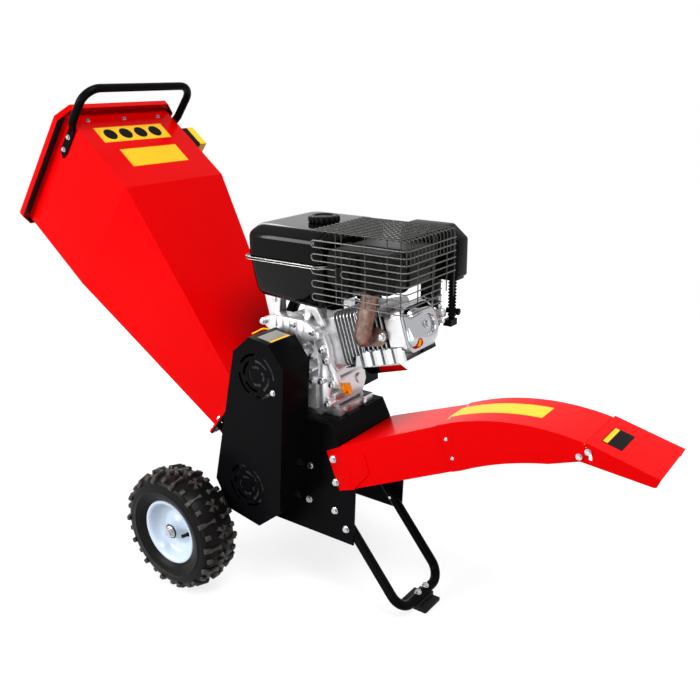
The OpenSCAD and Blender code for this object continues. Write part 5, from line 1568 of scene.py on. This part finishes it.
@dataclass(frozen=True)
class Casting(Part):
    """Cast case, tank brackets, fan shroud and a wire, in millimetres from the crank axis.

    Attributes:
        front: the case's front and boxed top.
        column: the round column at its near corner.
        ridges: corners of the paths of the two ridges, with their rounding in metres and their radius.
        bosses: x, z, near face and radius of the bosses with bolts.
        boss_depth: depth of such a boss and the size of its chamfer.
        pads: the round pads under the head.
        rib: the first of the slanted ribs, of which rib_count lie rib_pitch apart.
        rib_count: number of slanted ribs.
        rib_pitch: distance between slanted ribs.
        bar: low and high corner of the first upright rib, of which bar_count lie bar_pitch apart.
        bar_count: number of upright ribs.
        bar_pitch: distance between upright ribs.
        brackets: the tank's brackets.
        bracket_bolts: places of their bolts.
        shroud_axis: x and z of the fan shroud's axis.
        shroud: radius and y of the shroud's section.
        shroud_turns: first angle, end and step of the shroud, in degrees.
        wire: corners of the yellow wire's path.
        wire_radius: radius of the wire.
        wire_bend: rounding of its corners, in metres.
    """

    front: tuple[Plate, ...] = (
        Plate(((40, 96), (96, 88), (112, 56), (114, 20), (124, -20), (130, -60), (118, -104), (40, -104)),
              -66, 62),
        Plate(((60, 104), (104, 92), (119, 58), (123, 24), (116, 8), (84, 12), (72, 60)), -82, -62),
        Plate(((116, -16), (142, -22), (144, -42), (120, -46)), -84, -60),
        Plate(((-72, 90), (-74, 108), (-38, 121), (58, 121), (106, 93), (104, 80), (40, 60), (-40, 70)),
              -100, -52),
        Plate(((-60, 70), (-62, 98), (-20, 106), (60, 104), (96, 82), (60, 50)), -52, 60))
    column: Turned = Turned(((17, -104), (21, -100), (22, -40), (21, 8), (15, 22), (6, 28)),
                            (97, -64, 0), steps=40)
    ridges: tuple[tuple[tuple[Triple, ...], float, float], ...] = (
        (((112, -70, 34), (120, -74, 8), (134, -74, -12), (136, -72, -34)), 0.014, 10.5),
        (((66, -72, 40), (72, -74, -20), (74, -70, -98)), 0.02, 9.0))
    bosses: tuple[Quad, ...] = (
        (106, 52, -92, 9), (116, 26, -90, 9.5), (133, -32, -90, 10), (104, -28, -94, 8), (118, -86, -88, 9),
        (88, 98, -104, 9), (-68, 100, -104, 8), (30, 108, -103, 8))
    boss_depth: Pair = (24, 1.5)
    pads: tuple[Turned, ...] = (
        Turned(((14, -30), (13, 2), (11, 4)), (132, -30, -60), AHEAD, 28),
        Turned(((14, -30), (13, 2), (11, 4)), (128, 30, -50), AHEAD, 28))
    rib: Plate = Plate(((110, 66), (131, 50), (131, 45), (110, 58)), -60, 56)
    rib_count: int = 4
    rib_pitch: float = 26.0
    bar: Block = ((-30, -102.5, 92), (-26.5, -98, 118))
    bar_count: int = 5
    bar_pitch: float = 22.0
    brackets: tuple[Plate, ...] = (
        Plate(((-90, 177.5), (-30, 177.5), (-42, 108), (-70, 100)), -74, -70),
        Plate(((50, 177.5), (80, 177.5), (84, 150), (106, 112), (94, 104), (66, 138), (58, 112), (40, 108),
               (50, 148)), -78, -70))
    bracket_bolts: tuple[Triple, ...] = ((-52, -74, 152), (65, -78, 168))
    shroud_axis: Pair = (-15, 38)
    shroud: tuple[Pair, ...] = ((104, 56), (122, 56), (124, 59), (124, 86), (104, 86))
    shroud_turns: tuple[int, int, int] = (25, 186, 7)
    wire: tuple[Triple, ...] = ((-60, -40, 60), (-110, -60, 62), (-124, -62, 54), (-150, -58, 40))
    wire_radius: float = 2.2
    wire_bend: float = 0.02

    def build(self) -> None:
        """Adds the casting's pieces."""
        self._case()
        self._bosses()
        self._brackets()
        x, z = self.shroud_axis
        arc = [math.radians(a) for a in range(*self.shroud_turns)]
        shroud = Shape().rings([[en(x + r * math.cos(t), y, z + r * math.sin(t)) for r, y in self.shroud]
                                for t in arc])
        self.shop.make("fan_shroud", shroud, Look.BLACK, crease=40, bevel=1)
        wire = Shape().tube(fillet([en(*p) for p in self.wire], self.wire_bend), self.wire_radius)
        self.shop.make("yellow_wire", wire, Look.YELLOW, crease=60)

    def _case(self) -> None:
        """Adds the case's front, its column and ridges, and its ribs."""
        front, column, ribs = Shape(), Shape(), Shape()
        for plate in self.front:
            plate.add_to(front)
        self.shop.make("case_front", front, Look.CAST, crease=50, bevel=5, segments=3)
        self.column.add_to(column)
        for path, bend, radius in self.ridges:
            column.tube(fillet([en(*p) for p in path], bend, 6), radius, sides=20)
        self.shop.make("case_column", column, Look.CAST, crease=60)
        for k in range(self.rib_count):
            self.rib.add_to(ribs, self.rib_pitch * k)
        for k in range(self.bar_count):
            ribs.box(*(en(x + self.bar_pitch * k, y, z) for x, y, z in self.bar))
        self.shop.make("case_ribs", ribs, Look.CAST, crease=40, bevel=1.2)

    def _bosses(self) -> None:
        """Adds the case's bosses with their bolts, and the pads under the head."""
        bosses, bolts = Shape(), []
        depth, cut = self.boss_depth
        for x, z, near, r in self.bosses:
            Turned(((r, depth), (r, cut), (r - cut, 0)), (x, near, z), LEFTWARD, 28).add_to(bosses)
            bolts.append(frame_of(en(x, near, z), RIGHTWARD))
        for pad in self.pads:
            pad.add_to(bosses)
        self.shop.make("case_bosses", bosses, Look.CAST, crease=40)
        self.shop.repeat("case_bolts", hex_unit(6.6, 6.5), bolts, Look.ZINC, bevel=0.5)

    def _brackets(self) -> None:
        """Adds the tank's brackets and their bolts."""
        brackets = Shape()
        for plate in self.brackets:
            plate.add_to(brackets)
        self.shop.make("tank_brackets", brackets, Look.CAST, crease=40, bevel=1)
        places = [frame_of(en(*p), RIGHTWARD) for p in self.bracket_bolts]
        self.shop.repeat("bracket_bolts", hex_unit(6, 5), places, Look.ZINC, bevel=0.5)


@dataclass(frozen=True)
class Plates(Part):
    """Blank plates on the sheet metal, in millimetres and degrees.

    Attributes:
        thick: thickness of a plate.
        hopper: start, end, near and far edge of the hopper's plates, along its floor and across.
        hopper_top: height of these plates over the hopper's floor.
        discs: number of dark discs on the upper plate.
        disc: place of the first disc along the floor and across, and the distance between discs.
        disc_radius: radius of a disc.
        disc_rise: bottom and thickness of a disc, over the hopper's floor.
        hood_axis: axis of the hood's curve, ahead of the axle and over the ground.
        hood: radius, near and far edge of the hood's plate.
        hood_turns: first angle and spread of the hood's plate.
        hood_steps: steps along the hood's plate.
        flap_rise: slope of the deflector.
        flap_top: height of the deflector's face over the hood's end.
        flap: edges, thickness and material number of the deflector's plates.
        cover_top: two points of the belt cover's sloping top, ahead of the axle and over the ground.
        cover_gap: distance of the cover's plates from that top.
        cover: edges and material number of the cover's plates.
    """

    thick: float = 0.4
    hopper: tuple[Quad, ...] = ((-790, -733, -124, 110), (-702, -636, -97, 100))
    hopper_top: float = 367.05
    discs: int = 4
    disc: Triple = (-762, -86, 52)
    disc_radius: float = 20.0
    disc_rise: Pair = (367.3, 0.35)
    hood_axis: Pair = (904.435, 23.4575)
    hood: Triple = (580.35, -27, 38)
    hood_turns: Pair = (-25, 23)
    hood_steps: int = 12
    flap_rise: float = -14.3
    flap_top: float = 6.05
    flap: tuple[tuple[Quad, float, int], ...] = (((22, 66, -48, 33), 0.4, 0), ((24, 34, -45, 30), 0.7, 1))
    cover_top: tuple[Pair, Pair] = ((220, 713), (280, 705))
    cover_gap: float = 0.1
    cover: tuple[tuple[Quad, int], ...] = (((14, 50, -196, -128), 1), ((51, 58, -196, -128), 0))

    def build(self) -> None:
        """Adds the plates."""
        self._on_hopper()
        self._on_hood()
        along, up = sheet_axes(self.flap_rise)
        flap, base = Shape(), at(*HOOD_END) + up * (self.flap_top / 1000)
        for edges, thick, tag in self.flap:
            self._patch(flap, base, along, up * (thick / 1000), edges, tag)
        self.shop.make("deflector_plate", flap, Look.PLASTIC, Look.PLATE, body="deflector_flap")
        start, end = (at(x, 0, z) for x, z in self.cover_top)
        along = (end - start).normalized()
        up = Vector((-along.z, 0, along.x))
        cover, base = Shape(), start + up * (self.cover_gap / 1000)
        for edges, tag in self.cover:
            self._patch(cover, base, along, up * (self.thick / 1000), edges, tag)
        self.shop.make("cover_plate", cover, Look.PLATE, Look.GREY_PLATE)

    @staticmethod
    def _patch(shape: Shape, base: Vector, along: Vector, shift: Vector, edges: Quad, tag: int) -> None:
        """Adds one plate on a sloping sheet.

        Args:
            shape: the shape that gathers it.
            base: the point of the sheet from which its edges are measured.
            along: direction of the sheet's slope.
            shift: its thickness, square to the sheet.
            edges: its start, end, near and far edge.
            tag: material number of its faces.
        """
        outline = [base + along * (a / 1000) + Vector((0, y / 1000, 0)) for a, y in corners(*edges)]
        shape.prism(outline, shift, tag)

    def _on_hopper(self) -> None:
        """Adds the hopper's plates and the dark discs on the upper one."""
        plates, disc = Shape(), Shape()
        for edges in self.hopper:
            plates.prism([hop(a, y, self.hopper_top) for a, y in corners(*edges)],
                         hop(0, 0, self.thick) - hop(0, 0, 0))
        self.shop.make("hopper_plates", plates, Look.PLATE)
        a, y, pitch = self.disc
        low, thick = self.disc_rise
        disc.revolve([(self.disc_radius, 0), (self.disc_radius, thick)], Vector((0, 0, 0)), UP, steps=32)
        up = hop(0, 0, 1) - hop(0, 0, 0)
        places = [frame_of(hop(a, y + pitch * k, low), up, up.orthogonal()) for k in range(self.discs)]
        self.shop.repeat("hopper_discs", disc, places, Look.PLASTIC)

    def _on_hood(self) -> None:
        """Adds the hood's plate, which follows its curve."""
        (x, z), (radius, near, far) = self.hood_axis, self.hood
        start, spread = self.hood_turns
        section = [(r, y) for y, r in corners(near, far, radius, radius + self.thick)]
        turns = [math.radians(start + spread * k / self.hood_steps) for k in range(self.hood_steps + 1)]
        plate = Shape().rings([[at(x + r * math.sin(t), y, z + r * math.cos(t)) for r, y in section]
                               for t in turns])
        self.shop.make("chute_plate", plate, Look.PLATE)


@dataclass(frozen=True)
class Trim(Part):
    """Tongue under the hood's end, dark strips in the hopper's mouth that paint the shade behind its lip, and
    foot block, in millimetres and degrees.

    Attributes:
        hinge: the deflector's hinge, in the frame's metres.
        hood_rise: slope of the hood's end.
        tongue_root: how far the tongue starts behind the hood's end, its gap to the hood and its thickness.
        tongue_radii: radius of the tongue's two faces about the hinge.
        tongue_wide: half width and turns of the tongue's wide part.
        tongue_narrow: the same for its narrow tip, which passes between the lock bolts.
        mouth_shade_place: place of the painted shade strips along the hopper's floor, and their depth.
        seal: near and far edge, bottom and top of the dark strips that paint the shade in the channel behind
            the mouth's lip.
        foot: side view of the foot block, ahead of the frame's origin and over the ground.
        foot_half: its half width.
        foot_top: low and high corner of its upper part.
    """

    hinge: Triple = (0.761501, 0.0, 0.565759)
    hood_rise: float = -9.3
    tongue_root: Triple = (6.0, 0.4, 1.0)
    tongue_radii: Pair = (29.4, 30.4)
    tongue_wide: tuple[float, tuple[float, ...]] = (81.0, (14.3, 20, 25.5, 31))
    tongue_narrow: tuple[float, tuple[float, ...]] = (70.0, (30, 36, 42, 48))
    # Painted shade: dark rubber-look strips behind the mouth's lip stand for the shade in its channel.
    mouth_shade_place: Pair = (-853.66, 9.0)
    seal: tuple[Quad, ...] = ((-199.4, -174.5, 8, 359), (174.5, 199.4, 8, 359), (-166, 166, -25.4, -0.5))
    foot: tuple[Pair, ...] = ((310, 3), (313.5, 0), (381, 0), (387.2, 6), (387.2, 15), (310, 15))
    foot_half: float = 32.0
    foot_top: Block = ((328.1, -31.8, 14), (367.7, 31.8, 26.2))

    def build(self) -> None:
        """Adds the pieces."""
        self._tongue()
        start, depth = self.mouth_shade_place
        # Painted shade: these dark strips stand for the shade in the channel behind the mouth's lip.
        seal = Shape()
        for edges in self.seal:
            seal.prism([hop(start, y, b) for y, b in corners(*edges)], hop(depth, 0, 0) - hop(0, 0, 0))
        self.shop.make("mouth_seal", seal, Look.RUBBER, bevel=1)
        foot = Shape().prism([Vector((x, -self.foot_half, z)) / 1000 for x, z in self.foot],
                             (0, 2 * self.foot_half / 1000, 0))
        foot.box(*(Vector(p) / 1000 for p in self.foot_top))
        self.shop.make("foot_block", foot, Look.RUBBER, stands_for=("foot_pad",), bevel=0.8)

    def _tongue(self) -> None:
        """Adds the tongue, bent round the hinge so that the deflector can tip over it."""
        back, gap, thick = (size / 1000 for size in self.tongue_root)
        along, up = sheet_axes(self.hood_rise)
        root = [at(*HOOD_END) - along * back + up * rise for rise in (gap, gap + thick)]
        tongue = Shape()
        for (half, turns), lines in ((self.tongue_wide, [root]), (self.tongue_narrow, [])):
            for t in (math.radians(turn) for turn in turns):
                lines.append([Vector(self.hinge) + Vector((math.sin(t), 0, math.cos(t))) * (r / 1000)
                              for r in self.tongue_radii])
            side = Vector((0, half / 1000, 0))
            tongue.rings([[inner - side, outer - side, outer + side, inner + side] for inner, outer in lines])
        self.shop.make("hood_tongue", tongue, Look.RED)


@dataclass(frozen=True)
class Lamp:
    """One soft rectangular lamp, in metres and watts.

    Attributes:
        name: its name.
        place: where it hangs.
        target: the point it faces.
        size: its width and height.
        power: its power.
    """

    name: str
    place: Triple
    target: Triple
    size: Pair
    power: float

    def hang(self) -> None:
        """Adds the lamp to the scene."""
        lamp = bpy.data.lights.new(self.name, "AREA")
        lamp.shape = "RECTANGLE"
        lamp.size, lamp.size_y = self.size
        lamp.energy = self.power
        obj = bpy.data.objects.new(self.name, lamp)
        bpy.context.scene.collection.objects.link(obj)
        obj.location = self.place
        obj.rotation_mode = "QUATERNION"
        obj.rotation_quaternion = (Vector(self.place) - Vector(self.target)).to_track_quat("Z", "Y")


@dataclass(frozen=True)
class Studio:
    """White studio: floor, backdrop, soft lamps and the photograph's camera, in metres and degrees.

    Attributes:
        position: place of the camera.
        azimuth: direction of its view round the machine.
        elevation: height of its view.
        roll: turn of its picture.
        lens: its focal length, in millimetres.
        sensor: width of its sensor, in millimetres.
        shift: shift of its picture.
        reach: how far it sees.
        glow: the direction that lights the machine most.
        levels: brightness of the sky, by share of the way towards the glow.
        tint: colour of the sky.
        floor: half size of the floor.
        floor_tone: grey of the floor.
        floor_roughness: roughness of the floor.
        floor_specular: level of its mirror reflection.
        floor_fade: distances between which the floor brightens to white.
        floor_glow: its brightness at these distances.
        lamps: the lamps.
    """

    position: Triple = (1.506 - MID / 1000, -1.557, 1.301)
    azimuth: float = 36.288
    elevation: float = 18.25
    roll: float = -0.682
    lens: float = 42.226
    sensor: float = 36.0
    shift: Pair = (-0.00054, -0.0082)
    reach: float = 200.0
    glow: Triple = (-0.66, 0.64, 0.32)
    levels: tuple[Pair, ...] = ((0.0, 0.05), (0.35, 0.08), (0.62, 0.22), (0.84, 0.42), (0.93, 1.7))
    tint: Triple = (0.97, 0.985, 1.0)
    floor: float = 3.0
    floor_tone: float = 0.24
    floor_roughness: float = 0.9
    floor_specular: float = 0.1
    floor_fade: Pair = (0.9, 1.7)
    floor_glow: Pair = (0.80, 1.0)
    lamps: tuple[Lamp, ...] = (
        Lamp("key", (-1.7, -2.6, 1.5), (-0.3, 0, 0.6), (1.4, 1.4), 92),
        Lamp("top", (1.4, -0.9, 3.2), (0.05, 0, 0.6), (1.6, 1.6), 102),
        Lamp("card", (0.75, -2.3, 0.15), (0.3, 0, 0.75), (1.3, 0.5), 12),
        Lamp("rim", (-2.6, 1.8, 2.4), (0, 0, 0.6), (1.6, 1.6), 26))

    def build(self) -> None:
        """Adds the stage, the light and the camera to the scene."""
        self._world()
        self._floor()
        for lamp in self.lamps:
            lamp.hang()
        self._camera()
        bpy.context.scene.view_settings.view_transform = "Standard"

    @staticmethod
    def _shown(tree: bpy.types.NodeTree) -> bpy.types.NodeSocket:
        """Masks the rays that show the background: camera, glossy and transmission rays.

        Args:
            tree: the node tree that gets the mask.

        Returns:
            The mask's socket.
        """
        path = tree.nodes.new("ShaderNodeLightPath")
        mask = path.outputs["Is Camera Ray"]
        for kind in ("Is Glossy Ray", "Is Transmission Ray"):
            mask = calc(tree, "MAXIMUM", mask, path.outputs[kind])
        return mask

    def _world(self) -> None:
        """Adds the sky that lights the machine, and the white that shows behind it."""
        world = bpy.data.worlds.new("studio")
        bpy.context.scene.world = world
        world.use_nodes = True
        tree = world.node_tree
        nodes, links = tree.nodes, tree.links
        coords, facing, ramp, white, mix = (nodes.new(kind) for kind in (
            "ShaderNodeTexCoord", "ShaderNodeVectorMath", "ShaderNodeValToRGB", "ShaderNodeBackground",
            "ShaderNodeMixShader"))
        facing.operation = "DOT_PRODUCT"
        facing.inputs[1].default_value = Vector(self.glow).normalized()
        links.new(coords.outputs["Generated"], facing.inputs[0])
        links.new(calc(tree, "MULTIPLY_ADD", facing.outputs["Value"], 0.5, 0.5), ramp.inputs["Fac"])
        while len(ramp.color_ramp.elements) < len(self.levels):
            ramp.color_ramp.elements.new(0.5)
        for element, (place, level) in zip(ramp.color_ramp.elements, self.levels):
            element.position, element.color = place, (*(level * share for share in self.tint), 1)
        sky = nodes["Background"]
        links.new(ramp.outputs["Color"], sky.inputs["Color"])
        sky.inputs["Strength"].default_value = 1.0
        white.inputs["Color"].default_value = (1, 1, 1, 1)
        white.inputs["Strength"].default_value = 1.0
        links.new(self._shown(tree), mix.inputs["Fac"])
        links.new(sky.outputs[0], mix.inputs[1])
        links.new(white.outputs[0], mix.inputs[2])
        links.new(mix.outputs[0], nodes["World Output"].inputs["Surface"])

    def _floor(self) -> None:
        """Adds the floor, which keeps the machine's shadow and fades to white."""
        mesh = bpy.data.meshes.new("floor")
        edge = self.floor
        mesh.from_pydata([(x, y, 0) for x, y in corners(-edge, edge, -edge, edge)], [], [(0, 1, 2, 3)])
        floor = bpy.data.objects.new("floor", mesh)
        bpy.context.scene.collection.objects.link(floor)
        material = bpy.data.materials.new("floor")
        material.use_nodes = True
        tree = material.node_tree
        nodes, links = tree.nodes, tree.links
        shader = nodes["Principled BSDF"]
        shader.inputs["Base Color"].default_value = (self.floor_tone, self.floor_tone, self.floor_tone, 1)
        shader.inputs["Roughness"].default_value = self.floor_roughness
        shader.inputs["Specular IOR Level"].default_value = self.floor_specular
        glow, coords, reach, rise, both, mix = (nodes.new(kind) for kind in (
            "ShaderNodeEmission", "ShaderNodeTexCoord", "ShaderNodeVectorMath", "ShaderNodeMapRange",
            "ShaderNodeAddShader", "ShaderNodeMixShader"))
        glow.inputs["Color"].default_value = (1, 1, 1, 1)
        reach.operation = "LENGTH"
        names = ("From Min", "From Max", "To Min", "To Max")
        for name, value in zip(names, self.floor_fade + self.floor_glow):
            rise.inputs[name].default_value = value
        links.new(coords.outputs["Object"], reach.inputs[0])
        links.new(reach.outputs["Value"], rise.inputs["Value"])
        links.new(rise.outputs["Result"], glow.inputs["Strength"])
        links.new(shader.outputs[0], both.inputs[0])
        links.new(glow.outputs[0], both.inputs[1])
        links.new(self._shown(tree), mix.inputs["Fac"])
        links.new(shader.outputs[0], mix.inputs[1])
        links.new(both.outputs[0], mix.inputs[2])
        links.new(mix.outputs[0], nodes["Material Output"].inputs["Surface"])
        mesh.materials.append(material)

    def _camera(self) -> None:
        """Adds the camera and makes it the scene's."""
        a, e, r = (math.radians(v) for v in (self.azimuth, self.elevation, self.roll))
        back = Vector((math.sin(a) * math.cos(e), -math.cos(a) * math.cos(e), math.sin(e)))
        right = Vector((math.cos(a), math.sin(a), 0))
        up = back.cross(right)
        turned = (right * math.cos(r) + up * math.sin(r), up * math.cos(r) - right * math.sin(r), back)
        data = bpy.data.cameras.new("camera")
        data.lens, data.sensor_width, data.clip_end = self.lens, self.sensor, self.reach
        data.shift_x, data.shift_y = self.shift
        camera = bpy.data.objects.new("camera", data)
        bpy.context.scene.collection.objects.link(camera)
        camera.matrix_world = Matrix.Translation(self.position) @ Matrix(turned).transposed().to_4x4()
        bpy.context.scene.camera = camera


def main() -> None:
    """Builds the sub-assemblies and the studio in order, and reports each piece."""
    logging.basicConfig(level=logging.INFO, format="%(message)s")
    shop = Workshop(MaterialLibrary())
    for part in (Bodywork(shop), Wheel(shop, Side.RIGHT), Wheel(shop, Side.LEFT), Guard(shop), Tank(shop),
                 Head(shop), Intake(shop), FuelCap(shop), Casting(shop), Plates(shop), Trim(shop)):
        done = len(shop.made)
        part.build()
        for name in shop.made[done:]:
            LOG.info("%s: %s", type(part).__name__, name)
    Studio().build()


if __name__ == "__main__":
    main()
